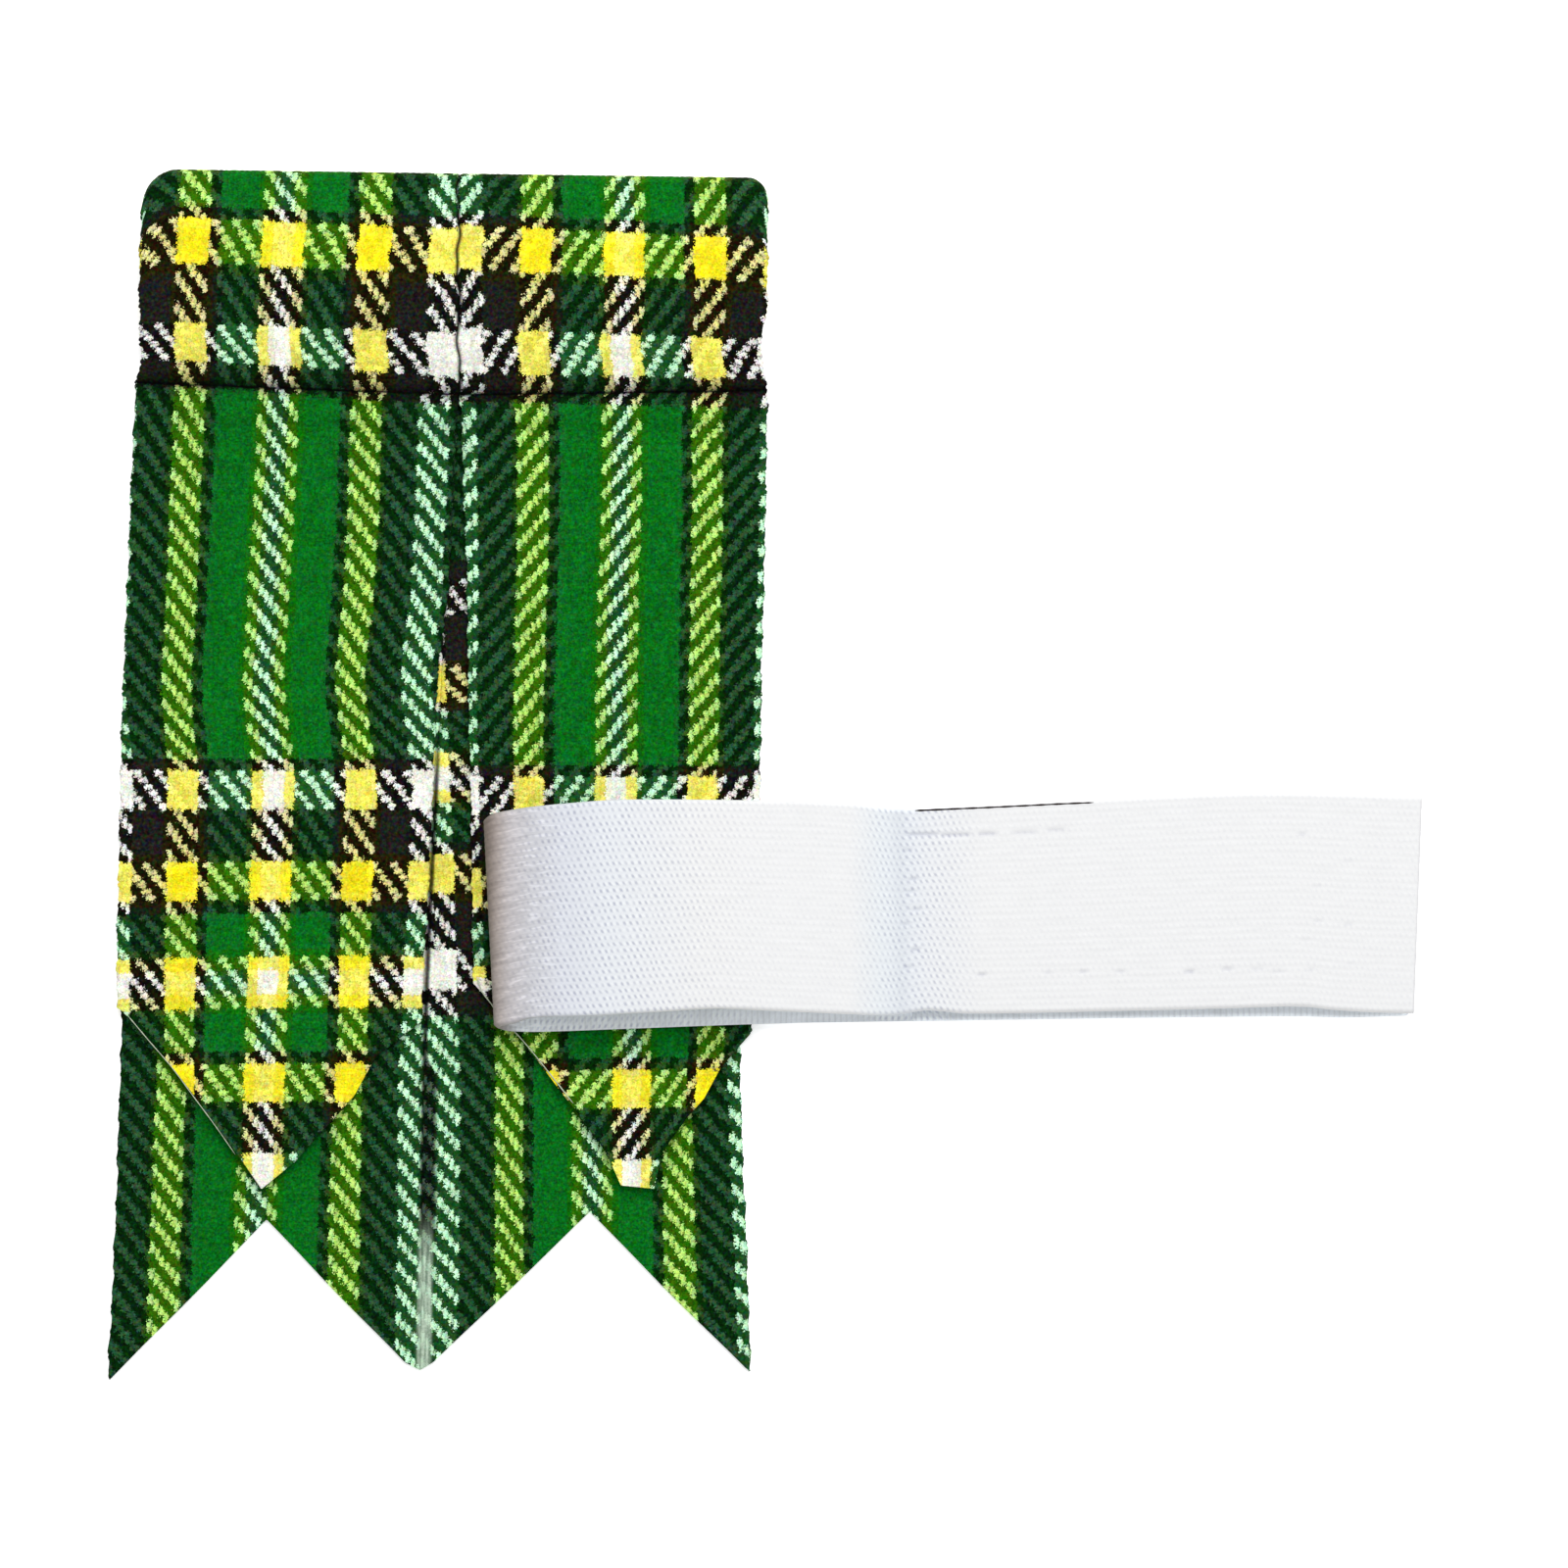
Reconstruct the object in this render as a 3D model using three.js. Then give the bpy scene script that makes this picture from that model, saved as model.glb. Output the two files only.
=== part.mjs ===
// A sock garter for a kilt hose, lying flat: two tartan flashes side by side, and the white
// elastic band that holds them up, closed into a loop with hook and loop tape.
//
// Millimetres, +Z up. X runs across the flashes and Y up their length. The garter lies on
// Z = 0, and the origin is under the middle of its box.
import * as THREE from 'three';

// The flashes: each is a folded front cloth, whose top is a sleeve for the band, and a longer
// back tail that is sewn in behind the sleeve's seam.
const flashWidth = 50;
const cloth = 1.0;
const gap = 0.3;
const sleeveHeight = 34;
const sleeveFold = 4.6;
const tunnelHeight = 5.6;
const sleeveCorner = 3.1;
const seamAllowance = 3;
const seamDip = 0.4;
const frontLength = 126.5;
const frontPoint = 28;
const tipLift = 0.8;
const backLength = 155.5;
const notchDepth = 24.4;
const backTuck = 5;

// The band: one strip of ribbed elastic that passes round the leg and laps over its own end.
const bandWidth = 35;
const elastic = 1.3;
const hollowLength = 66.8;
const hollowHeight = 8.4;
const closureLength = 80.7;
const returnFold = 1.6;
const lowerShift = 1.2;
const bandDown = 84;
const bandIn = 4.6;
const bandTilt = THREE.MathUtils.degToRad(1);
const stepRun = 8;
const patchLength = 68;
const patchWidth = 22.5;
const patchThick = 1.0;
const patchCorner = 1.5;

// The edges of each cloth, as shares of the flash's width from the line between the flashes.
// "down" is the share of the way from the sleeve's seam to the cloth's lowest point.
const leftFrontEdges = [
  { down: 0.0, left: -1.034, right: -0.012 },
  { down: 0.242, left: -1.059, right: -0.037 },
  { down: 0.487, left: -1.078, right: -0.09 },
  { down: 0.781, left: -1.084, right: -0.124 },
  { down: 1.0, left: -1.09, right: -0.15 },
];
const rightFrontEdges = [
  { down: 0.0, left: 0.006, right: 0.972 },
  { down: 0.242, left: 0.025, right: 0.96 },
  { down: 0.487, left: 0.034, right: 0.947 },
  { down: 0.781, left: 0.05, right: 0.918 },
  { down: 1.0, left: 0.06, right: 0.9 },
];
const leftBackEdges = [
  { down: 0.0, left: -1.02, right: -0.024 },
  { down: 0.398, left: -1.074, right: -0.086 },
  { down: 0.637, left: -1.081, right: -0.12 },
  { down: 1.0, left: -1.118, right: -0.136 },
];
const rightBackEdges = [
  { down: 0.0, left: -0.004, right: 0.96 },
  { down: 0.398, left: -0.069, right: 0.92 },
  { down: 0.637, left: -0.102, right: 0.886 },
  { down: 1.0, left: -0.121, right: 0.916 },
];

// The lower ends. "across" is the share of the cloth's width from its left edge, and "up" the
// height above the lowest point, as a share of the point's length or of the notch's depth.
const leftPoint = [
  { across: 0.0, up: 1.0 },
  { across: 0.47, up: 0.0 },
  { across: 1.0, up: 1.0 },
];
const rightPoint = [
  { across: 0.0, up: 1.18 },
  { across: 0.6, up: 0.0 },
  { across: 1.0, up: 0.93 },
];
const leftNotch = [
  { across: 0.0, up: 0.0 },
  { across: 0.492, up: 1.0 },
  { across: 1.0, up: 0.04 },
];
const rightNotch = [
  { across: 0.0, up: 0.0 },
  { across: 0.5, up: 1.0 },
  { across: 1.0, up: 0.0 },
];

// How the band rises from the closure, rounds the open loop and comes down on the flash.
// "along" is a share of the hollow's length and "rise" a share of its height.
const loopRise = [
  { along: 0.94, rise: 0.3 },
  { along: 0.83, rise: 0.52 },
  { along: 0.6, rise: 0.93 },
  { along: 0.37, rise: 1.0 },
  { along: 0.18, rise: 0.93 },
  { along: 0.06, rise: 0.74 },
  { along: 0.01, rise: 0.42 },
  { along: 0.04, rise: 0.1 },
  { along: 0.1, rise: 0.0 },
];

// How far the band's edges wander from straight, as shares of its width, from the loop's fold
// to the free end. "along" is a share of the band's whole length as it lies.
const bandEdges = [
  { along: 0.0, north: -0.036, south: 0.014 },
  { along: 0.05, north: 0.006, south: -0.004 },
  { along: 0.15, north: 0.03, south: 0.004 },
  { along: 0.3, north: 0.018, south: 0.01 },
  { along: 0.45, north: -0.032, south: 0.012 },
  { along: 0.6, north: -0.006, south: 0.004 },
  { along: 0.87, north: 0.012, south: 0.012 },
  { along: 1.0, north: -0.006, south: -0.002 },
];

const clothRows = 16;
const clothColumns = 11;
const sleeveRows = 10;
const foldSteps = 4;
const bandColumns = 5;
const restLevel = cloth + gap;

/** The value of one column of a table at a place between its rows, on a smooth curve. */
function read(table, place, column, at) {
  const last = table.length - 1;
  const next = Math.min(Math.max(table.findIndex((row) => row[place] >= at), 1), last);
  const upper = at > table[last][place] ? last : next;
  const [a, b] = [table[upper - 1], table[upper]];
  const [before, after] = [table[Math.max(upper - 2, 0)], table[Math.min(upper + 1, last)]];
  const span = b[place] - a[place];
  const share = THREE.MathUtils.clamp((at - a[place]) / span, 0, 1);
  const slopeA = ((b[column] - before[column]) / (b[place] - before[place])) * span;
  const slopeB = ((after[column] - a[column]) / (after[place] - a[place])) * span;
  const [s2, s3] = [share ** 2, share ** 3];
  return (
    a[column] * (2 * s3 - 3 * s2 + 1) + slopeA * (s3 - 2 * s2 + share)
    + b[column] * (3 * s2 - 2 * s3) + slopeB * (s3 - s2)
  );
}

/** The value of one column of a table on straight lines between its rows. */
function readStraight(table, place, column, at) {
  const upper = Math.max(table.findIndex((row) => row[place] >= at), 1);
  const [a, b] = [table[upper - 1], table[upper]];
  return THREE.MathUtils.mapLinear(at, a[place], b[place], a[column], b[column]);
}

/** A smooth step from 0 at "from" to 1 at "to", either way round. */
function ease(at, from, to) {
  const share = THREE.MathUtils.clamp((at - from) / (to - from), 0, 1);
  return share * share * (3 - 2 * share);
}

/** Shares from 0 to 1 in equal steps. */
function steps(count) {
  return Array.from({ length: count + 1 }, (_, i) => i / count);
}

/**
 * Collects points and faces. A column holds the points of a section from one end to the other,
 * above and below; a tunnel, where there is one, lies between them from its row "seam" on.
 */
class Body {
  constructor() {
    this.points = [];
    this.faces = [];
  }

  add(points) {
    return points.map((p) => this.points.push(p) - 1);
  }

  /** Covers the cells between neighbouring chains that run side by side. */
  cover(chains) {
    for (let c = 0; c + 1 < chains.length; c++) {
      for (let k = 0; k + 1 < chains[c].length; k++) {
        const [a, b] = [chains[c][k], chains[c + 1][k]];
        const [d, e] = [chains[c + 1][k + 1], chains[c][k + 1]];
        if (a !== b) this.faces.push(a, b, d);
        if (d !== e) this.faces.push(a, d, e);
      }
    }
  }

  geometry() {
    const geometry = new THREE.BufferGeometry();
    const numbers = this.points.flatMap((p) => p.toArray());
    geometry.setAttribute('position', new THREE.Float32BufferAttribute(numbers, 3));
    geometry.setIndex(this.faces);
    geometry.computeVertexNormals();
    return geometry;
  }
}

/** A closed body of cloth or elastic from columns of points above and points below. */
function sheetBody(columns) {
  const body = new Body();
  const over = columns.map((column) => body.add(column.over));
  const under = columns.map((column) => body.add(column.under));
  const loops = over.map((chain, c) => [...chain, ...under[c].toReversed(), chain[0]]);
  const last = columns.length - 1;
  body.cover(loops);
  body.cover([under[0], over[0]]);
  body.cover([over[last], under[last]]);
  return body.geometry();
}

/** As sheetBody, with a tunnel through the rows from "seam" to the fold at the top. */
function sleeveBody(columns, seam) {
  const body = new Body();
  const over = columns.map((column) => body.add(column.over));
  const under = columns.map((column) => body.add(column.under));
  const roof = columns.map((column) => body.add(column.roof));
  const floor = columns.map((column, c) => [roof[c][0], ...body.add(column.floor.slice(1))]);
  body.cover(over.map((chain, c) => [...chain, ...under[c].toReversed(), chain[0]]));
  body.cover(roof.map((chain, c) => [...floor[c], ...chain.toReversed()]));
  const close = (c, turn) => {
    const order = (a, b) => (turn ? [b, a] : [a, b]);
    body.cover(order(under[c].slice(0, seam + 1), over[c].slice(0, seam + 1)));
    body.cover(order(roof[c], over[c].slice(seam)));
    body.cover(order(under[c].slice(seam), floor[c]));
    body.cover(order([roof[c].at(-1), floor[c].at(-1)], [over[c].at(-1), under[c].at(-1)]));
    body.faces.push(...order(over[c][seam], roof[c][0]), under[c][seam]);
  };
  close(0, false);
  close(columns.length - 1, true);
  return body.geometry();
}

/** The place across X of a share of the cloth's width, at a share of its length. */
function acrossCloth(edges, share, down) {
  const left = read(edges, 'down', 'left', down) * flashWidth;
  const right = read(edges, 'down', 'right', down) * flashWidth;
  return THREE.MathUtils.lerp(left, right, share);
}

/** The shares across a cloth: even, with one more at the point or notch and near the edges. */
function columnShares(end) {
  const shares = new Set([...steps(clothColumns), 0.015, 0.04, 0.96, 0.985, end[1].across]);
  return [...shares].sort((a, b) => a - b);
}

/** The sleeve's outer height above the floor at a share of the way from seam to fold. */
function sleeveTop(share) {
  const seamTop = restLevel + 2 * cloth;
  const arch = tunnelHeight + 2 * cloth - (seamTop + sleeveFold) / 2;
  return THREE.MathUtils.lerp(seamTop, sleeveFold, share) + arch * Math.sin(Math.PI * share);
}

/** The sleeve's underside: on the floor, and over the back tail's top edge at the seam. */
function sleeveBase(y) {
  return restLevel * (1 - ease(y, backTuck, backTuck + 4 * restLevel));
}

/** One column of a front cloth, from its pointed end up over the seam and round the fold. */
function frontColumn(edges, end, share, outward) {
  const lowest = -frontLength + readStraight(end, 'across', 'up', share) * frontPoint;
  const over = [];
  const under = [];
  const place = (y, z) => new THREE.Vector3(acrossCloth(edges, share, -y / frontLength), y, z);
  for (const row of steps(clothRows)) {
    const y = THREE.MathUtils.lerp(lowest, -2 * seamAllowance, row);
    const level = restLevel + tipLift * ease(y, frontPoint - frontLength, -frontLength);
    over.push(place(y, level + cloth));
    under.push(place(y, level));
  }
  over.push(place(-seamAllowance, restLevel + 2 * cloth), place(0, restLevel + 2 * cloth - seamDip));
  under.push(place(-seamAllowance, restLevel), place(0, restLevel));
  const seam = over.length - 1;

  // The outer corner of the sleeve is rounded, so its fold comes lower there.
  const width = flashWidth * (outward > 0 ? 1 - share : share);
  const inCorner = Math.min(width / sleeveCorner, 1);
  const cut = sleeveCorner * (1 - Math.sqrt(1 - (1 - inCorner) ** 2));
  const height = sleeveHeight - cut;
  const radius = sleeveFold / 2;
  const straight = height - radius;
  const upper = (y, z) => new THREE.Vector3(acrossCloth(edges, share, 0), y, z);
  const middle = restLevel + cloth - seamDip / 2;
  const roof = [upper(cloth / 2, middle)];
  const floor = [upper(cloth / 2, middle)];
  for (const row of steps(sleeveRows).slice(1)) {
    const y = row * straight;
    over.push(upper(y, sleeveTop(row)));
    under.push(upper(y, sleeveBase(y)));
    roof.push(upper(y, sleeveTop(row) - cloth));
    floor.push(upper(y, sleeveBase(y) + cloth));
  }
  for (const turn of steps(foldSteps).slice(1)) {
    const angle = (turn * Math.PI) / 2.2;
    const [out, rise] = [Math.sin(angle), Math.cos(angle)];
    const inner = radius - cloth;
    over.push(upper(straight + radius * out, radius + radius * rise));
    under.push(upper(straight + radius * out, radius - radius * rise));
    roof.push(upper(straight + inner * out, radius + inner * rise));
    floor.push(upper(straight + inner * out, radius - inner * rise));
  }
  return { over, under, roof, floor, seam };
}

/** A front cloth: sleeve, seam and pointed tail in one piece. */
function frontCloth(edges, end, outward) {
  const columns = columnShares(end).map((share) => frontColumn(edges, end, share, outward));
  return sleeveBody(columns, columns[0].seam);
}

/** A back tail: a flat strip from behind the seam down to its two tips. */
function backTail(edges, end) {
  const columns = columnShares(end).map((share) => {
    const lowest = -backLength + readStraight(end, 'across', 'up', share) * notchDepth;
    const rows = steps(clothRows).map((row) => THREE.MathUtils.lerp(lowest, backTuck, row));
    const place = (y, z) => new THREE.Vector3(acrossCloth(edges, share, -y / backLength), y, z);
    return { over: rows.map((y) => place(y, cloth)), under: rows.map((y) => place(y, 0)) };
  });
  return sheetBody(columns);
}

const bandLength = hollowLength + closureLength;
const onFloor = elastic / 2;
const onFlash = 2 * restLevel + elastic / 2;
const middleLayer = onFloor + returnFold;
const loopPatchLevel = middleLayer + elastic / 2 + gap + patchThick / 2;
const hookPatchLevel = loopPatchLevel + patchThick + gap;
const topLayer = hookPatchLevel + patchThick / 2 + gap + elastic / 2;

/** The middle line of the strip, as [along, height], from its free end to its hidden end. */
function bandLine() {
  const flashEdge = acrossCloth(rightFrontEdges, 1, bandDown / frontLength) - bandIn;
  const stepFrom = flashEdge + gap + elastic;
  const foldAt = bandLength - elastic / 2 - returnFold / 2 - gap;
  const level = (from, to, count, height) => (
    steps(count).map((s) => [THREE.MathUtils.lerp(from, to, s), height])
  );
  const rise = loopRise.map((row) => (
    new THREE.Vector2(row.along * hollowLength, onFlash + row.rise * hollowHeight)
  ));
  const closureEnd = new THREE.Vector2(hollowLength - gap, topLayer);
  const touchDown = new THREE.Vector2(hollowLength * 0.2, onFlash);
  const round = new THREE.SplineCurve([closureEnd, ...rise, touchDown]);
  const turn = steps(6).slice(1, -1).map((s) => [
    foldAt + (returnFold / 2) * Math.sin(Math.PI * s),
    onFloor + (returnFold / 2) * (1 - Math.cos(Math.PI * s)),
  ]);
  const down = steps(8).slice(1, -1).map((s) => [
    stepFrom + stepRun * s,
    THREE.MathUtils.lerp(onFlash, onFloor, ease(s, 0, 1)),
  ]);
  return [
    ...level(bandLength, closureEnd.x, 14, topLayer).slice(0, -1),
    ...round.getSpacedPoints(44).map((p) => [p.x, p.y]),
    ...level(touchDown.x, stepFrom, 4, onFlash).slice(1),
    ...down,
    ...level(stepFrom + stepRun, foldAt, 12, onFloor),
    ...turn,
    ...level(foldAt, hollowLength, 10, middleLayer),
  ];
}

/** The elastic band: one strip, a column for each step of its length. */
function elasticBand() {
  const line = bandLine();
  const foldedAt = line.findIndex(([along], i) => i > 0 && line[i + 1][0] > along);
  const columns = line.map(([along, height], i) => {
    const before = line[Math.max(i - 1, 0)];
    const after = line[Math.min(i + 1, line.length - 1)];
    const way = new THREE.Vector2(after[0] - before[0], after[1] - before[1]).normalize();
    const share = along / bandLength;
    const shift = lowerShift * ease(i, foldedAt - 6, foldedAt + 6);
    const north = bandWidth * (0.5 + read(bandEdges, 'along', 'north', share)) - shift;
    const south = bandWidth * (-0.5 + read(bandEdges, 'along', 'south', share)) - shift;
    const side = (out) => steps(bandColumns).map((s) => new THREE.Vector3(
      along + out * way.y * (elastic / 2),
      THREE.MathUtils.lerp(north, south, s),
      height - out * way.x * (elastic / 2),
    ));
    return { over: side(1), under: side(-1) };
  });
  return sheetBody(columns);
}

/** One half of the closure: a flat tape with rounded corners, lying level. */
function closurePatch() {
  const [x, y, r] = [patchLength / 2 - patchCorner, patchWidth / 2 - patchCorner, patchCorner];
  const outline = new THREE.Shape();
  outline.absarc(x, y, r, 0, Math.PI / 2);
  outline.absarc(-x, y, r, Math.PI / 2, Math.PI);
  outline.absarc(-x, -y, r, Math.PI, 1.5 * Math.PI);
  outline.absarc(x, -y, r, 1.5 * Math.PI, 2 * Math.PI);
  const options = { depth: patchThick, bevelEnabled: false, curveSegments: 4 };
  return new THREE.ExtrudeGeometry(outline, options);
}

const wool = new THREE.MeshStandardMaterial({ color: 0x0c7a2c, roughness: 0.9, metalness: 0 });
const darkWool = new THREE.MeshStandardMaterial({ color: 0x0b4a24, roughness: 0.9, metalness: 0 });
const white = new THREE.MeshStandardMaterial({ color: 0xf2f3f6, roughness: 0.75, metalness: 0 });
const tape = new THREE.MeshStandardMaterial({ color: 0xe9e9ec, roughness: 0.85, metalness: 0 });

/** Names a sub-part and puts it into its group. */
function put(group, name, geometry, material) {
  const mesh = new THREE.Mesh(geometry, material);
  mesh.name = name;
  group.add(mesh);
  return mesh;
}

const flashes = new THREE.Group();
put(flashes, 'left_front_tail', frontCloth(leftFrontEdges, leftPoint, -1), wool);
put(flashes, 'right_front_tail', frontCloth(rightFrontEdges, rightPoint, 1), wool);
put(flashes, 'left_back_tail', backTail(leftBackEdges, leftNotch), darkWool);
put(flashes, 'right_back_tail', backTail(rightBackEdges, rightNotch), darkWool);

const band = new THREE.Group();
band.position.set(bandIn, -bandDown, 0);
band.rotation.z = bandTilt;
put(band, 'elastic_band', elasticBand(), white);
for (const [name, level] of [['loop_patch', loopPatchLevel], ['hook_patch', hookPatchLevel]]) {
  const patch = put(band, name, closurePatch(), tape);
  patch.position.set(hollowLength + patchLength / 2, 0, level - patchThick / 2);
}

// The whole garter is set over the origin by the middle of its box.
const garter = new THREE.Group();
garter.add(flashes, band);
garter.updateMatrixWorld(true);
const box = new THREE.Box3().setFromObject(garter, true);
const middle = box.getCenter(new THREE.Vector3());
garter.position.set(-middle.x, -middle.y, -box.min.z);

export default garter;
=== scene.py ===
# %% [markdown]
# # A sock garter, lying flat
# Two tartan flashes lie side by side, and a white elastic band, closed into a loop, lies over
# the right one. This lesson dresses the plain solids of the garter: it weaves the cloth thread
# by thread, ribs the elastic, sews the seams and sets up the camera and the lights. The plain
# solids stay in the file as the fixed frame, and each new piece is worked out from their places.

# %% Load the fixed frame
import math

import bpy
import numpy as np
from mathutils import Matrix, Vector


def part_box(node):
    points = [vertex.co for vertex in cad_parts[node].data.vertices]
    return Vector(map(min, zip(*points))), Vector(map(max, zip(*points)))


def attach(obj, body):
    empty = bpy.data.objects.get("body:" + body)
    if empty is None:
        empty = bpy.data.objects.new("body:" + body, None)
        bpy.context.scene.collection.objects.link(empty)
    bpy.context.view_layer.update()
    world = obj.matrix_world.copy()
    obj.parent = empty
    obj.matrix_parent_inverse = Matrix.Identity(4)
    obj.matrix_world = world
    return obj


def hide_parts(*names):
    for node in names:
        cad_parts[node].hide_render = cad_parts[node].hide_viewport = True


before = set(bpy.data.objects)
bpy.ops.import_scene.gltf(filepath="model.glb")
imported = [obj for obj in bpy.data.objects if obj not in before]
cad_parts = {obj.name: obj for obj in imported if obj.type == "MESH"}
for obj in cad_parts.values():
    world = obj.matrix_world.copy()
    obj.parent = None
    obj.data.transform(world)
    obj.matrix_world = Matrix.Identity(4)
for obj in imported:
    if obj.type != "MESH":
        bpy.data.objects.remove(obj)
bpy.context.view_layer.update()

# %% [markdown]
# ## Where the garter lies
# The flashes were drawn from two lines: the seam under their sleeves, where y is 0, and the line
# between the two flashes, where x is 0. The lesson works in millimetres from those two lines and
# moves each finished surface to its place at the end. Both lines are read off the boxes of the
# solids, so the new cloth can't drift away from the frame.

# %% The two lines that everything is measured from
FLASH_WIDTH = 50.0
SLEEVE_HEIGHT = 34.0
left_box = np.array([list(corner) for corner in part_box("left_front_tail")]) * 1000
right_box = np.array([list(corner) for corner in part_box("right_front_tail")]) * 1000
RIGHT_CLOTH_STARTS = 0.006 * FLASH_WIDTH
origin = np.array([right_box[0, 0] - RIGHT_CLOTH_STARTS, left_box[1, 1] - SLEEVE_HEIGHT, 0.0])
print("seam and centre line, mm:", origin.round(2))

# %% [markdown]
# ## The camera
# The photograph looks straight down. A camera a metre or so above the middle of the picture, with
# a long lens, gives nearly the same scale to the cloth on the table and to the band on top of it.
# The lens follows from the width that the picture covers, 248.5 mm: focal length over sensor
# width equals distance over covered width.

# %% Camera
PICTURE_WIDTH = 0.2485
CAMERA_X, CAMERA_Y, CAMERA_HEIGHT = 0.0031, -0.0013, 1.2
SENSOR = 36.0
lens = bpy.data.cameras.new("camera")
lens.sensor_width = SENSOR
lens.lens = SENSOR * (CAMERA_HEIGHT - 0.002) / PICTURE_WIDTH
camera = bpy.data.objects.new("camera", lens)
camera.location = (CAMERA_X, CAMERA_Y, CAMERA_HEIGHT)
bpy.context.scene.collection.objects.link(camera)
bpy.context.scene.camera = camera
print("lens, mm:", round(lens.lens, 1))

# %% [markdown]
# ## Floor and light
# The garter was photographed on white, with light from everywhere, so it has next to no shadow.
# A large pale floor, an even white sky and one wide lamp overhead come close. The lamp stands a
# little up the picture, which leaves a soft shade under the lower edges and shows the threads.
# The plain "Standard" view keeps the wool as saturated as in the photograph.

# %% Floor, sky and lamp
LAMP_X, LAMP_Y, LAMP_Z, LAMP_REACH = 0.15, 0.55, 1.0, 1.14
SKY_STRENGTH = 0.62


def plane_mesh(name, half, z):
    """A square of the given half width, level at height z, in metres."""
    mesh = bpy.data.meshes.new(name)
    corners = [(-half, -half, z), (half, -half, z), (half, half, z), (-half, half, z)]
    mesh.from_pydata(corners, [], [(0, 1, 2, 3)])
    return mesh


floor = bpy.data.objects.new("floor", plane_mesh("floor", 3.0, 0.0))
bpy.context.scene.collection.objects.link(floor)
paper = bpy.data.materials.new("white_paper")
paper.use_nodes = True
paper_shader = paper.node_tree.nodes["Principled BSDF"]
paper_shader.inputs["Base Color"].default_value = (0.97, 0.97, 0.97, 1)
paper_shader.inputs["Roughness"].default_value = 0.9
paper_shader.inputs["Emission Color"].default_value = (1, 1, 1, 1)
paper_shader.inputs["Emission Strength"].default_value = 0.4
floor.data.materials.append(paper)

sky = bpy.data.worlds.new("soft_sky")
sky.use_nodes = True
sky.node_tree.nodes["Background"].inputs["Color"].default_value = (1, 1, 1, 1)
sky.node_tree.nodes["Background"].inputs["Strength"].default_value = SKY_STRENGTH
bpy.context.scene.world = sky

lamp_data = bpy.data.lights.new("softbox", "AREA")
lamp_data.shape = "SQUARE"
lamp_data.size = 0.7
lamp_data.energy = 10.5
lamp = bpy.data.objects.new("softbox", lamp_data)
lamp.location = (LAMP_X, LAMP_Y, LAMP_Z)
lamp.rotation_euler = (-math.atan2(LAMP_Y, LAMP_Z), math.atan2(LAMP_X, LAMP_REACH), 0)
bpy.context.scene.collection.objects.link(lamp)
bpy.context.scene.view_settings.view_transform = "Standard"
print("lamp:", lamp_data.energy, "W, sky strength", SKY_STRENGTH)

# %% [markdown]
# ## Curves read from short tables
# The edges of cloth wander a little. Each edge is kept as a short table of places and values, and
# read on a smooth curve through them. The curve is the usual cubic between two rows, whose slopes
# at a row come from the rows on either side of it.

# %% Reading a table
def smooth(places, values, at):
    """
    The values of a table at the places "at", on a smooth curve: between two rows a cubic in the
    share t of the way, a(2t3 - 3t2 + 1) + slope_a(t3 - 2t2 + t) + b(3t2 - 2t3) + slope_b(t3 - t2).
    """
    places = np.asarray(places, float)
    values = np.asarray(values, float)
    slopes = np.empty_like(values)
    slopes[1:-1] = (values[2:] - values[:-2]) / (places[2:] - places[:-2])
    slopes[0] = (values[1] - values[0]) / (places[1] - places[0])
    slopes[-1] = (values[-1] - values[-2]) / (places[-1] - places[-2])
    at = np.clip(at, places[0], places[-1])
    k = np.clip(np.searchsorted(places, at, side="right") - 1, 0, len(places) - 2)
    span = places[k + 1] - places[k]
    t = (at - places[k]) / span
    return (
        values[k] * (2 * t**3 - 3 * t**2 + 1)
        + slopes[k] * span * (t**3 - 2 * t**2 + t)
        + values[k + 1] * (3 * t**2 - 2 * t**3)
        + slopes[k + 1] * span * (t**3 - t**2)
    )


def ease(at, start, end):
    """A smooth step: with t the share of the way from start to end, 3 t squared - 2 t cubed."""
    t = np.clip((at - start) / (end - start), 0, 1)
    return t * t * (3 - 2 * t)


print("table check:", smooth([0, 1, 2], [0, 1, 4], np.array([0.5, 1.5])).round(3))

# %% [markdown]
# ## Sheets with a thickness
# A cloth has a fine outer face, where every thread shows, and a plain inner face that needs few
# points. Both are grids of points with rows down the cloth and columns across it. A pointed or
# notched end is made by letting each column stop at its own row: the points past the end all
# fall on it and are merged into one, and faces that are left without width are dropped.

# %% A grid whose columns stop at their own rows
def stopped_grid(rows, ends):
    """
    rows: the count down the cloth at each row; ends: the count at which each column stops.
    Gives the count at every point, min(row, end), and every point's number, where all the points
    past a column's end share the number of the first of them.
    """
    count_down = np.minimum(rows[:, None], ends[None, :])
    stop = (rows[:, None] >= ends[None, :] - 1e-9).argmax(axis=0)
    kept_row = np.minimum(np.arange(len(rows))[:, None], stop[None, :])
    numbers = kept_row * len(ends) + np.arange(len(ends))[None, :]
    return count_down, numbers


def grid_faces(numbers, outward=True):
    """Four-sided faces of a grid, three-sided where one side has no length, none where two have."""
    a, b = numbers[:-1, :-1].ravel(), numbers[:-1, 1:].ravel()
    d, c = numbers[1:, :-1].ravel(), numbers[1:, 1:].ravel()
    left, right = a == d, b == c
    quads = np.stack([a, d, c, b], 1)[~left & ~right]
    left_closed = np.stack([a, c, b], 1)[left & ~right]
    right_closed = np.stack([a, d, b], 1)[right & ~left]
    triangles = np.concatenate([left_closed, right_closed])
    if not outward:
        quads, triangles = quads[:, ::-1], triangles[:, ::-1]
    return quads, triangles


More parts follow.
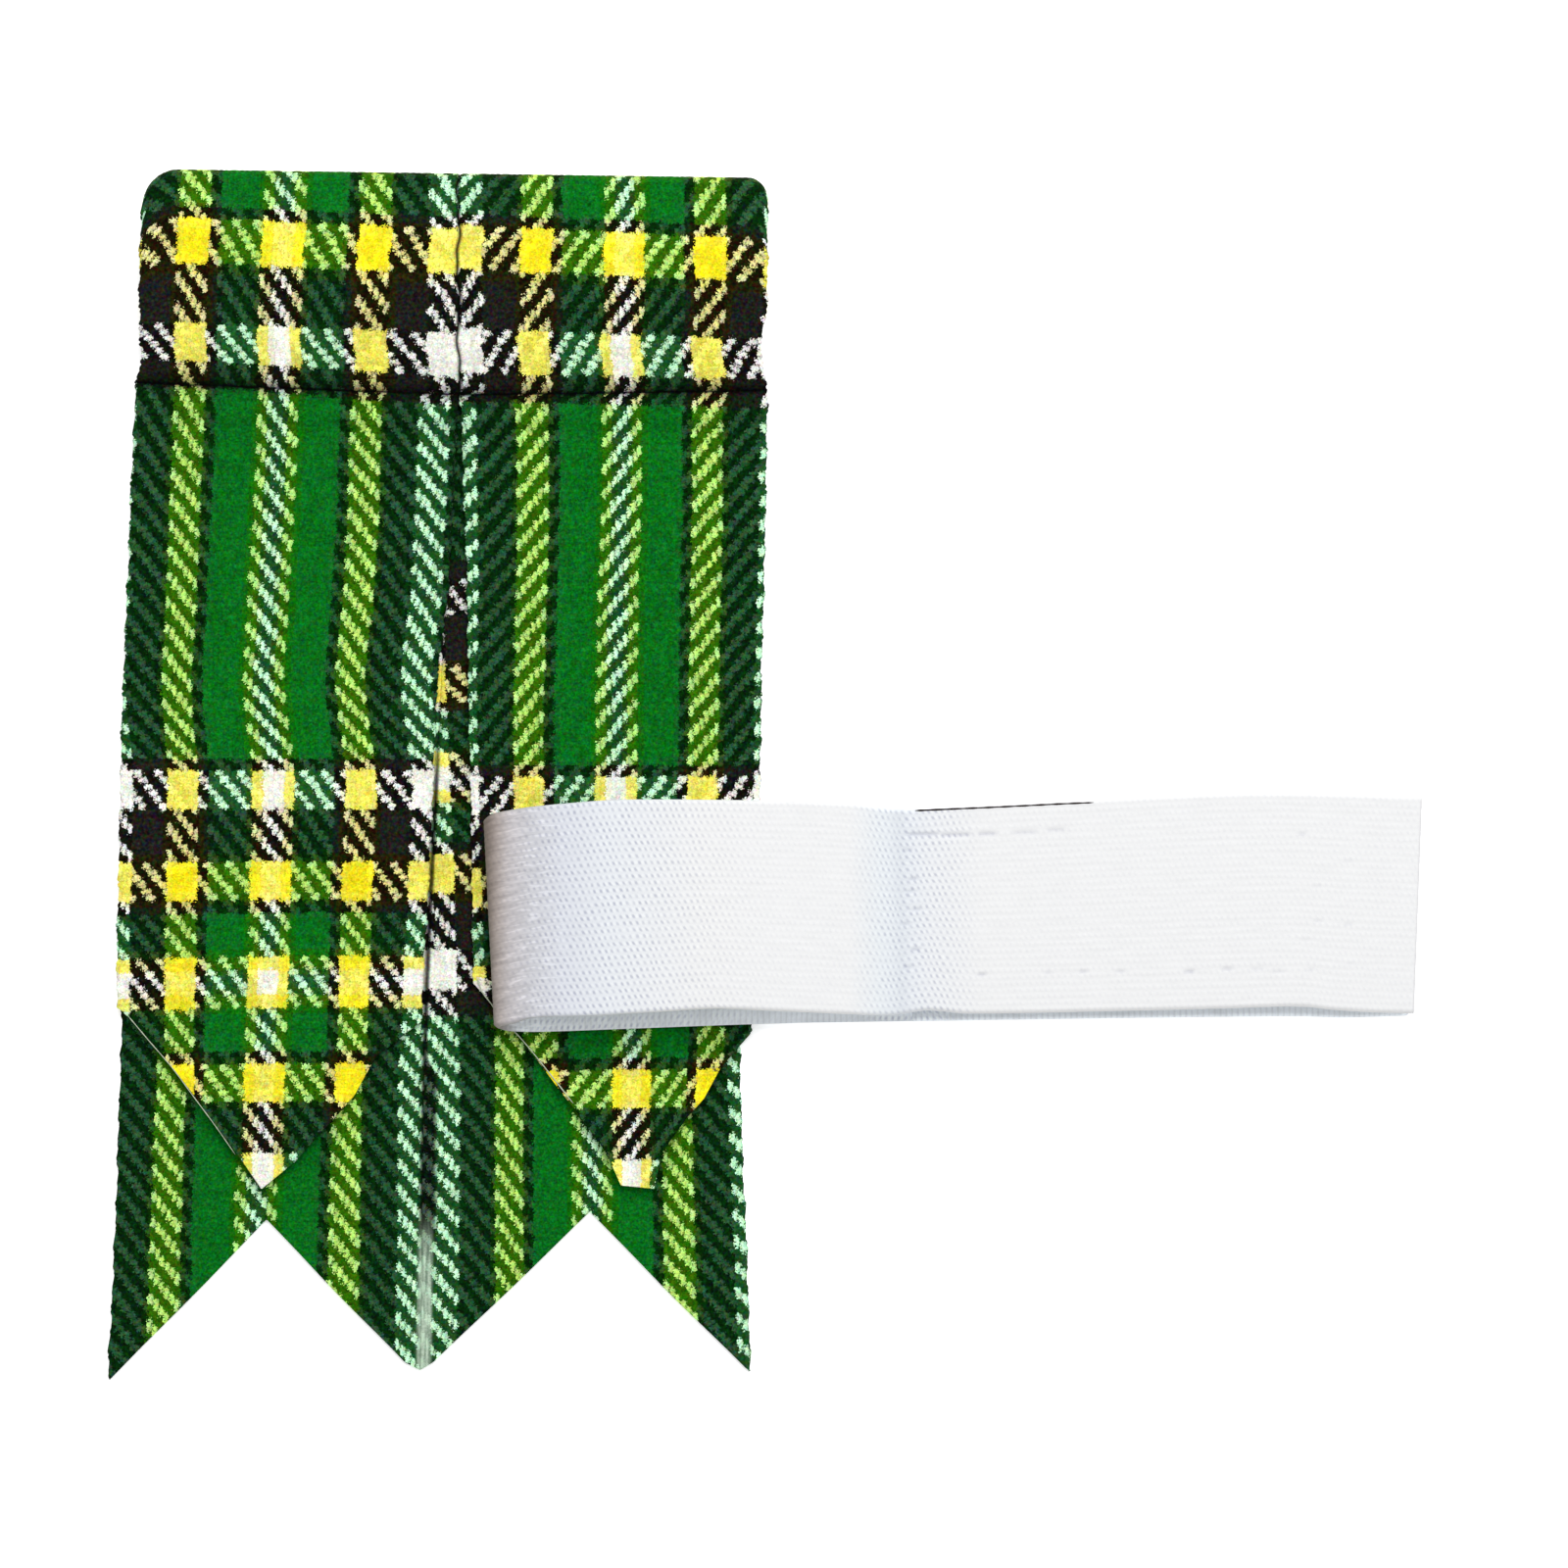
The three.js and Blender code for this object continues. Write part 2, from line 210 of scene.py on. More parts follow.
# %% [markdown]
# The rims of the two faces are joined by a wall. One rim has far more points than the other, so
# the wall is laced like a shoe: walk along both rims at once, and at each point that comes next
# on either rim, close one triangle with the point reached on the other.

# %% A wall between two rims
def laced_wall(outer, outer_share, inner, inner_share):
    """
    Triangles between two chains of point numbers. Each chain has the share of the way along it,
    from 0 to 1, of every point. All the steps are sorted by share, and each makes a triangle.
    """
    steps = np.concatenate([outer_share[1:], inner_share[1:]])
    is_outer = np.arange(len(steps)) < len(outer) - 1
    order = np.argsort(steps + np.where(is_outer, 0, 1e-9), kind="stable")
    is_outer = is_outer[order]
    i = np.cumsum(is_outer) - is_outer
    j = np.cumsum(~is_outer) - ~is_outer
    ahead = np.where(is_outer, np.minimum(i + 1, len(outer) - 1), i)
    return np.stack(
        [
            np.where(is_outer, outer[ahead], outer[i]),
            np.where(is_outer, outer[i], inner[j]),
            np.where(is_outer, inner[j], inner[np.minimum(j + 1, len(inner) - 1)]),
        ],
        1,
    )


def rim(numbers, counts, columns):
    """
    The four sides of a grid as chains with their shares: down the left side, along the end,
    up the right side and back along the first row.
    """
    def chain(ids, at):
        keep = np.concatenate([[True], ids[1:] != ids[:-1]])
        ids, at = ids[keep], at[keep]
        return ids, (at - at[0]) / (at[-1] - at[0])

    return [
        chain(numbers[:, 0], counts[:, 0]),
        chain(numbers[-1], columns),
        chain(numbers[::-1, -1], counts[::-1, -1]),
        chain(numbers[0, ::-1], columns[::-1]),
    ]


five, three = (np.arange(5), np.linspace(0, 1, 5)), (np.arange(3), np.linspace(0, 1, 3))
print("lace check:", len(laced_wall(*five, *three)), "triangles")

# %% [markdown]
# A mesh is filled in one go from arrays: points, then faces of four and three corners. Points
# that no face uses are left out. The thread counts of every point go with the mesh as a map
# named "threads", so the colours of the weave follow the cloth wherever it turns.

# %% From arrays to an object
def mesh_piece(name, points, face_sets, threads=None, material=None, numbers=None):
    """
    An object from points in millimetres and a list of face arrays; its place is in its mesh.
    "numbers" may give one number for each point under a name, for the material to read.
    """
    face_sets = [faces for faces in face_sets if len(faces)]
    corners = np.concatenate([faces.ravel() for faces in face_sets])
    sizes = np.concatenate([np.full(len(faces), faces.shape[1]) for faces in face_sets])
    used, corners = np.unique(corners, return_inverse=True)
    starts = np.concatenate([[0], np.cumsum(sizes)[:-1]])
    mesh = bpy.data.meshes.new(name)
    mesh.vertices.add(len(used))
    mesh.vertices.foreach_set("co", ((points[used] + origin) / 1000).astype(np.float32).ravel())
    mesh.loops.add(len(corners))
    mesh.loops.foreach_set("vertex_index", corners.astype(np.int32))
    mesh.polygons.add(len(sizes))
    mesh.polygons.foreach_set("loop_start", starts.astype(np.int32))
    mesh.polygons.foreach_set("use_smooth", np.full(len(sizes), True))
    mesh.update(calc_edges=True)
    if threads is not None:
        layer = mesh.uv_layers.new(name="threads")
        layer.uv.foreach_set("vector", threads[used][corners].astype(np.float32).ravel())
    for title, values in (numbers or {}).items():
        layer = mesh.attributes.new(title, "FLOAT", "POINT")
        layer.data.foreach_set("value", np.asarray(values)[used].astype(np.float32))
    mesh.validate()
    piece = bpy.data.objects.new(name, mesh)
    bpy.context.scene.collection.objects.link(piece)
    if material is not None:
        mesh.materials.append(material)
    triangles = int((sizes - 2).sum())
    print(f"{name}: {len(used)} points, {triangles} triangles")
    return piece


def closed_sheet(outer, inner):
    """
    All the faces of a sheet from its outer and inner grid, each a tuple of the point numbers, the
    counts down at every point and the counts across the columns.
    """
    sets = list(grid_faces(outer[0])) + list(grid_faces(inner[0], outward=False))
    for (a, share_a), (b, share_b) in zip(rim(*outer), rim(*inner)):
        sets.append(laced_wall(a, share_a, b, share_b))
    return sets


def both_faces(outer, inner):
    """
    The points, faces and values of a sheet from its two grids. Each grid is its points, their
    numbers, the counts down at every point, the counts across, and its points' values.
    """
    later = len(outer[1].ravel())
    sets = closed_sheet(outer[1:4], (inner[1] + later, *inner[2:4]))
    points, values = (
        np.concatenate([face[k].reshape(-1, face[k].shape[-1]) for face in (outer, inner)])
        for k in (0, 4)
    )
    return points, sets, values


# %% [markdown]
# ## The tartan's chart
# A tartan is set up by counting threads. The warp runs down the flash and the weft across it, and
# both follow one list of stripes: green, black, yellow and white, with thin black guards. The
# chart below is that list, counted off the photograph: a letter for the yarn and its threads.

# %% Stripes of warp and weft
YARNS = {
    "G": (0.047, 0.385, 0.115),
    "K": (0.125, 0.125, 0.11),
    "Y": (0.915, 0.85, 0.13),
    "W": (0.90, 0.905, 0.86),
}
WARP = "W6 K7 Y6 K2 G8 Y2 W4 Y2 G8 K2 Y6 K7 W6 K1"
WEFT = (
    "G57 K3 W6 K8 Y6 K2 G7 Y2 W4 Y2 G7 K2 Y6 K8 W6 K3 "
    "G57 K2 W6 K8 Y6 K2 G7 Y2 W4 Y2 G7 K2 Y6 K8 W6 K3"
)


def read_chart(chart):
    """The chart as (yarn, first thread) pairs, and its number of threads."""
    stripes = [(word[0], int(word[1:])) for word in chart.split()]
    starts = np.cumsum([0] + [count for _, count in stripes])
    return [(yarn, int(start)) for (yarn, _), start in zip(stripes, starts)], int(starts[-1])


for title, chart in (("warp", WARP), ("weft", WEFT)):
    stripes, count = read_chart(chart)
    print(title, "stripes:", len(stripes), "threads:", count)

# %% [markdown]
# ## The weave
# The cloth is a 2/2 twill: each thread passes over two and under two, one step further at each
# crossing, which draws the slanting ropes across the coloured stripes. With i the warp thread and
# j the weft thread at a point, the warp is on top where j + lean i, counted round in fours, is 0
# or 1. The lean is +1 where the ropes climb to the right and -1 where they fall to the right.

# %% The height of the threads
def thread_height(across, down, lean):
    """
    How high the upper thread stands at a point counted in threads, from 0 to 1: round across its
    width, sqrt(1 - a squared), and rounded off towards the ends of the float, 1 - 0.7 b cubed,
    where a and b run from 0 in the middle of the float to 1 at its sides and ends.
    """
    i, j = np.floor(across), np.floor(down)
    in_warp, in_weft = across - i, down - j
    turn = np.mod(j + lean * i, 4)
    warp_on_top = turn < 2
    along_warp = (turn + in_weft) / 2
    along_weft = (turn - 2 + in_warp) / 2 if lean > 0 else (3 - turn + in_warp) / 2
    a = np.abs(2 * np.where(warp_on_top, in_warp, in_weft) - 1)
    b = np.abs(2 * np.where(warp_on_top, along_warp, along_weft) - 1)
    return np.sqrt(np.clip(1 - a * a, 0, 1)) * (1 - 0.7 * b**3)


sample = np.arange(0, 8, 1 / 3)
print("mean thread height:", thread_height(sample[None, :], sample[:, None], 1).mean().round(3))

# %% [markdown]
# ## The tartan wool
# The material does the same count as the mesh. It reads the "threads" map, finds which thread is
# on top, and looks both threads up in the chart. Wool is a little see-through and fluffy, so a
# light thread over dark ones takes on some of their colour but keeps its own lightness. The
# colours are mixed as the eye sees them and turned into light at the end with a gamma of 2.2.
# Fine noise shifts the thread borders, so no edge between two colours is ruler straight.

# %% A short way to write node trees
class Recipe:
    """A material's nodes, one short call for each."""

    def __init__(self, name, constants):
        self.material = bpy.data.materials.new(name)
        self.material.use_nodes = True
        self.tree = self.material.node_tree
        self.shader = self.tree.nodes["Principled BSDF"]
        for socket, value in constants.items():
            self.shader.inputs[socket].default_value = value

    def put(self, socket, value):
        """Links a node's output to a socket, or sets the socket to a number or a colour."""
        if isinstance(value, bpy.types.NodeSocket):
            self.tree.links.new(value, socket)
        else:
            socket.default_value = value

    def node(self, kind, settings=None, inputs=None):
        made = self.tree.nodes.new(kind)
        for key, value in (settings or {}).items():
            setattr(made, key, value)
        for key, value in (inputs or {}).items():
            self.put(made.inputs[key], value)
        return made

    def math(self, operation, *values):
        return self.node(
            "ShaderNodeMath", {"operation": operation}, dict(enumerate(values))
        ).outputs[0]

    def mix(self, share, a, b, blend="MIX", clamp=False):
        """Two colours mixed by a share from 0 to 1."""
        settings = {"data_type": "RGBA", "blend_type": blend, "clamp_result": clamp}
        made = self.node("ShaderNodeMix", settings)
        self.put(made.inputs[0], share)
        self.put(made.inputs[6], a)
        self.put(made.inputs[7], b)
        return made.outputs[2]

    def choose(self, share, a, b):
        """Two numbers mixed by a share from 0 to 1."""
        made = self.node("ShaderNodeMix", {"data_type": "FLOAT"})
        self.put(made.inputs[0], share)
        self.put(made.inputs[2], a)
        self.put(made.inputs[3], b)
        return made.outputs[0]

    def step(self, value, low, high, to_low=0.0, to_high=1.0):
        """A smooth step between two values."""
        return self.node(
            "ShaderNodeMapRange",
            {"interpolation_type": "SMOOTHSTEP"},
            {0: value, 1: low, 2: high, 3: to_low, 4: to_high},
        ).outputs[0]

    def noise(self, place, scale, detail=1.0):
        return self.node(
            "ShaderNodeTexNoise", None, {"Vector": place, "Scale": scale, "Detail": detail}
        )

    def grey(self, value):
        return self.node("ShaderNodeCombineColor", None, {0: value, 1: value, 2: value}).outputs[0]

    def darkened(self, colour, share):
        """The colour with the given share of its light."""
        return self.mix(1.0, colour, self.grey(share), "MULTIPLY")

    def lightness(self, colour):
        return self.node("ShaderNodeRGBToBW", None, {0: colour}).outputs[0]

    def place(self):
        """Where a point is on the garter."""
        return self.node("ShaderNodeTexCoord").outputs["Object"]

    def threads(self):
        """A point's two counts, from the mesh's map."""
        return self.node("ShaderNodeUVMap", {"uv_map": "threads"}).outputs["UV"]

    def attribute(self, name):
        """A number that comes with the mesh's points."""
        return self.node("ShaderNodeAttribute", {"attribute_name": name}).outputs["Fac"]

    def streaks(self, counts, first, second, detail=2.0):
        """Noise over the two counts; the larger a scale, the closer the streaks lie that way."""
        scale = {"Vector": counts, "Scale": (first, second, 1.0)}
        drawn_out = self.node("ShaderNodeMapping", None, scale).outputs[0]
        return self.noise(drawn_out, 1.0, detail).outputs["Fac"]

    def paint(self, colour):
        self.put(self.shader.inputs["Base Color"], colour)

    def relief(self, height, strength, distance):
        """Fine bumps of the given depth in metres."""
        inputs = {"Strength": strength, "Distance": distance, "Height": height}
        self.put(self.shader.inputs["Normal"], self.node("ShaderNodeBump", None, inputs).outputs[0])

    def stripes(self, thread, chart):
        """The colour of a numbered thread in a chart."""
        rows, count = read_chart(chart)
        share = self.math("DIVIDE", self.math("ADD", thread, 0.5), float(count))
        made = self.node("ShaderNodeValToRGB", None, {"Fac": share})
        ramp = made.color_ramp
        ramp.interpolation = "CONSTANT"
        ramp.elements.remove(ramp.elements[1])
        for k, (yarn, start) in enumerate(rows):
            element = ramp.elements[0] if k == 0 else ramp.elements.new(start / count)
            element.position = start / count
            element.color = (*YARNS[yarn], 1)
        return made.outputs["Color"]


print("short calls:", [name for name in vars(Recipe) if not name.startswith("_")])

# %% [markdown]
# The material is built in four steps, each a short function that adds its nodes to the recipe.
# The first moves the counts about with noise, slowly over the cloth and quickly in the fibres,
# and then finds the thread on top in the same way as the mesh.

# %% Which thread is on top
WANDER = 1.0
FUZZ = 1.7
FLOAT_POWER = 2.5


def shaken_counts(r, split, place):
    """Both thread counts, shifted by noise, and the fast noise: its grey and its colour's green."""
    wander = r.node("ShaderNodeSeparateColor", None, {0: r.noise(place, 750.0).outputs["Color"]})
    fuzz_noise = r.noise(place, 3600.0, 2.0)
    fuzz = r.node("ShaderNodeSeparateColor", None, {0: fuzz_noise.outputs["Color"]})
    shaken = []
    for axis in (0, 1):
        slow = r.math("MULTIPLY", r.math("SUBTRACT", wander.outputs[axis], 0.5), WANDER)
        fast = r.math("MULTIPLY", r.math("SUBTRACT", fuzz.outputs[axis], 0.5), FUZZ)
        shaken.append(r.math("ADD", split.outputs[axis], r.math("ADD", slow, fast)))
    return shaken, fuzz_noise.outputs["Fac"], fuzz.outputs[1]


def float_nodes(r, shaken, lean):
    """
    The warp and weft thread at a point, the float's number, whether it is warp, and its outline:
    a to the power 2.5 plus b to the power 2.5, where a runs across the float and b along it.
    """
    i, j = (r.math("FLOOR", value) for value in shaken)
    in_warp, in_weft = (r.math("FRACT", value) for value in shaken)
    count = r.math("ADD", r.math("MULTIPLY_ADD", i, float(lean), j), 0.5)
    cycle = r.math("FLOOR", r.math("DIVIDE", count, 4.0))
    turn = r.math("MULTIPLY_ADD", cycle, -4.0, count)
    warp_on_top = r.math("LESS_THAN", turn, 2.0)
    along_warp = r.math("ADD", r.math("SUBTRACT", turn, 0.5), in_weft)
    reach = r.math("SUBTRACT", turn, 2.5) if lean > 0 else r.math("SUBTRACT", 3.5, turn)
    along = r.choose(warp_on_top, r.math("ADD", reach, in_warp), along_warp)
    across = r.choose(warp_on_top, in_weft, in_warp)
    a = r.math("ABSOLUTE", r.math("MULTIPLY_ADD", across, 1.8, -0.9))
    b = r.math("ABSOLUTE", r.math("SUBTRACT", along, 1.0))
    outline = r.math("ADD", r.math("POWER", a, FLOAT_POWER), r.math("POWER", b, FLOAT_POWER))
    return i, j, cycle, warp_on_top, outline


print("noise moves a thread's border by up to", WANDER / 2 + FUZZ / 2, "threads")

# %% [markdown]
# Two yarns cross at every point. Both are looked up in the charts, and so are the threads beside
# them, because fluffy wool lends its tint to its neighbours. Two light yarns, yellow and white,
# blend the most: where they cross, the photograph shows one soft pale yellow.

# %% The colours that meet at a point
def meeting_yarns(r, split, i, j, warp_on_top):
    """The upper and the lower yarn, their blend with the threads about, and the darker of them."""
    warp, weft = r.stripes(i, WARP), r.stripes(j, WEFT)
    upper, lower = r.mix(warp_on_top, weft, warp), r.mix(warp_on_top, warp, weft)
    near = []
    for axis, chart in enumerate((WARP, WEFT)):
        before = r.stripes(r.math("SUBTRACT", split.outputs[axis], 1.5), chart)
        after = r.stripes(r.math("ADD", split.outputs[axis], 0.5), chart)
        near.append(r.mix(0.5, before, after))
    blended = r.mix(0.5, r.mix(0.5, upper, lower), r.mix(0.5, near[0], near[1]))
    darker = r.mix(1.0, upper, lower, "DARKEN")
    blended = r.mix(r.step(r.lightness(darker), 0.5, 0.7, 0.2, 0.4), blended, darker)
    return upper, lower, blended, darker


print("charted yarns:", *YARNS)

# %% [markdown]
# A float shows the blended tint at its own yarn's lightness. Black yarn is thinner than the rest,
# so it sinks in, and painted shade darkens it and the green beside it, while a light float over it
# looks slimmer and a little duller. Between the floats lies the darker yarn, with painted shade
# from the lighter one.

# %% Light floats and sunken ones
def woven_colour(r, yarns, warp_on_top, outline):
    """The cloth's colour before its fibres, and how far a point is on the round of its float."""
    upper, lower, blended, darker = yarns
    light_up, light_mid, light_low = (r.lightness(colour) for colour in (upper, blended, lower))
    light_dark = r.math("MINIMUM", light_up, light_low)
    light_bright = r.math("MAXIMUM", light_up, light_low)
    contrast = r.math("SUBTRACT", light_up, light_low)
    either = r.math("ABSOLUTE", contrast)
    slimmer = r.math("MULTIPLY_ADD", r.math("MAXIMUM", contrast, 0.0), 0.55, 1.0)
    rounded = r.step(r.math("MULTIPLY", outline, slimmer), 0.75, 1.15, 1.0, 0.0)
    # Painted shade on the yarn that sinks in: black beside green, and both beside yellow or white.
    by_white = r.step(light_bright, 0.82, 0.88, 1.0, r.choose(warp_on_top, 0.80, 0.90))
    beside_white = r.math("MAXIMUM", by_white, r.step(light_dark, 0.4, 0.6))
    not_black = r.math("MULTIPLY", r.step(light_dark, 0.14, 0.24), beside_white)
    sunk = r.math("MAXIMUM", not_black, r.step(light_bright, 0.35, 0.75, 0.95, 0.66))
    dulled = r.choose(r.step(contrast, 0.02, 0.08), 1.0, r.step(light_up, 0.3, 0.5, 0.90, 0.95))
    shaded = r.choose(r.step(contrast, -0.08, -0.02), sunk, dulled)
    seen = r.mix(1.0, blended, r.grey(r.math("SUBTRACT", light_up, light_mid)), "ADD")
    seen = r.darkened(seen, shaded)
    # The darker yarn between the floats, with painted shade from the lighter one.
    depth = r.mix(1.0, blended, r.grey(r.math("SUBTRACT", light_dark, light_mid)), "ADD")
    between = r.mix(r.step(light_dark, 0.14, 0.24, 0.08, 0.3), depth, darker)
    mixed = r.math("MULTIPLY", sunk, r.step(either, 0.02, 0.12, 1.0, 0.84))
    between = r.darkened(between, r.choose(r.step(either, 0.02, 0.1), 0.93, mixed))
    return r.mix(rounded, between, seen), rounded


print("black sinks to 0.95 beside green, and to 0.66 beside white")

# %% [markdown]
# The last step lays the fibres over the weave. Every float gets its own lightness, fine noise
# mottles it, painted shade darkens the creases and gaps, and pale fluff lies in streaks where two
# edges have rubbed. Wool is matt, so the shader is rough with hardly any shine, and a fine bump
# rounds the threads.

# %% The wool itself
WOOL = {
    "Roughness": 0.92,
    "Specular IOR Level": 0.05,
    "Sheen Weight": 0.02,
    "Sheen Roughness": 0.4,
}
FLUFF_DARK, FLUFF_PALE = (0.22, 0.30, 0.23, 1), (0.50, 0.62, 0.49, 1)
MIDDLE_GREY, FELT_STRENGTH = (0.5, 0.5, 0.5, 1), (0.3, 0.3, 0.3, 1)
EYE_GAMMA = 2.2


def tartan_wool(name, lean):
    """The wool of a flash whose twill leans the given way."""
    r = Recipe(name, WOOL)
    place, counts = r.place(), r.threads()
    split = r.node("ShaderNodeSeparateXYZ", None, {0: counts})
    shaken, fuzz, fuzz_green = shaken_counts(r, split, place)
    i, j, cycle, warp_on_top, outline = float_nodes(r, shaken, lean)
    yarns = meeting_yarns(r, split, i, j, warp_on_top)
    colour, rounded = woven_colour(r, yarns, warp_on_top, outline)
    # Warp and weft floats get names that never meet, 700 apart, for their chance lightness.
    which = r.choose(warp_on_top, r.math("ADD", j, 700.0), i)
    float_name = r.node("ShaderNodeCombineXYZ", None, {0: which, 1: cycle, 2: 0.0}).outputs[0]
    chance = r.node("ShaderNodeTexWhiteNoise", {"noise_dimensions": "2D"}, {"Vector": float_name})
    lightening = r.math("MULTIPLY_ADD", chance.outputs["Value"], 0.14, 0.93)
    fibre_strength = r.step(r.lightness(yarns[-1]), 0.5, 0.7, 0.9, 0.55)
    mottle = r.math("MULTIPLY_ADD", r.math("SUBTRACT", fuzz, 0.5), fibre_strength, lightening)
    # Painted shade in the seam's crease and in the gaps, from the mesh's numbers.
    crease = r.math("MULTIPLY_ADD", r.attribute("crease"), -0.92, 1.0)
    colour = r.darkened(colour, r.math("MULTIPLY", mottle, crease))
    felt = r.mix(1.0, r.noise(place, 1900.0, 1.0).outputs["Color"], MIDDLE_GREY, "SUBTRACT")
    colour = r.mix(1.0, colour, r.mix(1.0, felt, FELT_STRENGTH, "MULTIPLY"), "ADD", True)
    light = r.node("ShaderNodeGamma", None, {0: colour, 1: EYE_GAMMA}).outputs[0]
    fluff = r.step(r.streaks(counts, 1.6, 0.16), 0.35, 0.62)
    worn = r.math("MULTIPLY", r.attribute("worn"), r.step(fuzz_green, 0.3, 0.6, 0.7, 1.0))
    r.paint(r.mix(worn, light, r.mix(fluff, FLUFF_DARK, FLUFF_PALE)))
    r.relief(r.math("MULTIPLY_ADD", fuzz, 0.5, r.math("MULTIPLY", rounded, 0.5)), 0.35, 0.00012)
    return r.material


falling_twill = tartan_wool("tartan_wool_falling", -1)
climbing_twill = tartan_wool("tartan_wool_climbing", 1)
print("wool nodes:", len(falling_twill.node_tree.nodes))

# %% [markdown]
# ## A flash's front cloth
# Each front is one strip of tartan. It runs up from its pointed end to the seam, swells over the
# sleeve that the elastic is threaded through, turns over a soft fold at the top and comes back
# down behind to the seam. Seen from the side that is one line, so the cloth is worked out as a
# height and a distance for every place along the line, and its width is added afterwards.

# %% The front cloth's line, seen from the side
CLOTH = 0.8
REST_LEVEL = 1.8
FRONT_LENGTH = 126.5
FRONT_POINT = 28.0
TIP_LIFT = 0.8
FOLD_RADIUS = 1.8
SLEEVE_STRAIGHT = 31.7
FOLD_LENGTH = math.pi * FOLD_RADIUS
FOLD_LEVEL = 2.3
ALLOWANCE_LIFT = 0.95
ARCH_START, ARCH_CLIMB, ARCH_SWELL = 2.8, 1.3, 3.65
TAIL_DIP, ARCH_DIP, DIP_WIDTH = 0.5, 0.55, 0.9


def front_line(s):
    """
    The place (y, z) of the cloth's middle at the distance s up the cloth from the seam. The tail
    is level at 1.8 mm, and its tip lifts. Over the hidden seam allowance it is a cloth higher.
    The sleeve is an arch, straight line plus sine; then a half circle, and the way back down.
    At the seam both sides dip: depth times exp of minus (s over the dip's width) squared.
    """
    u = np.clip(s / SLEEVE_STRAIGHT, 0, 1)
    tail = REST_LEVEL + TIP_LIFT * ease(-s, FRONT_LENGTH - FRONT_POINT, FRONT_LENGTH)
    dip = np.exp(-((s / DIP_WIDTH) ** 2))
    tail = tail + ALLOWANCE_LIFT * ease(s, -6.5, -3.5) - TAIL_DIP * dip * (s <= 0)
    arch = ARCH_START + ARCH_CLIMB * u + ARCH_SWELL * np.sin(np.pi * u) - ARCH_DIP * dip
    turn = np.clip(s - SLEEVE_STRAIGHT, 0, FOLD_LENGTH) / FOLD_RADIUS
    back_y = SLEEVE_STRAIGHT - np.clip(s - SLEEVE_STRAIGHT - FOLD_LENGTH, 0, None)
    back_z = 0.5 + 1.3 * (1 - ease(back_y, 5.0, 10.2))
    on_tail, on_arch = s < 0, (s >= 0) & (s < SLEEVE_STRAIGHT)
    on_fold = (s >= SLEEVE_STRAIGHT) & (s < SLEEVE_STRAIGHT + FOLD_LENGTH)
    fold_y = SLEEVE_STRAIGHT + FOLD_RADIUS * np.sin(turn)
    fold_z = FOLD_LEVEL + FOLD_RADIUS * np.cos(turn)
    y = np.select([on_tail | on_arch, on_fold], [s, fold_y], back_y)
    return y, np.select([on_tail, on_arch, on_fold], [tail, arch, fold_z], back_z)


line_y, line_z = front_line(np.linspace(-126.5, 73.5, 9))
print("front line y:", line_y.round(1), "z:", line_z.round(2))

# %% [markdown]
# The rows of the chart were found in the photograph at the distances below. Between them the
# thread counts run evenly. The sleeve's rows slope a little, as they do on the real flashes.

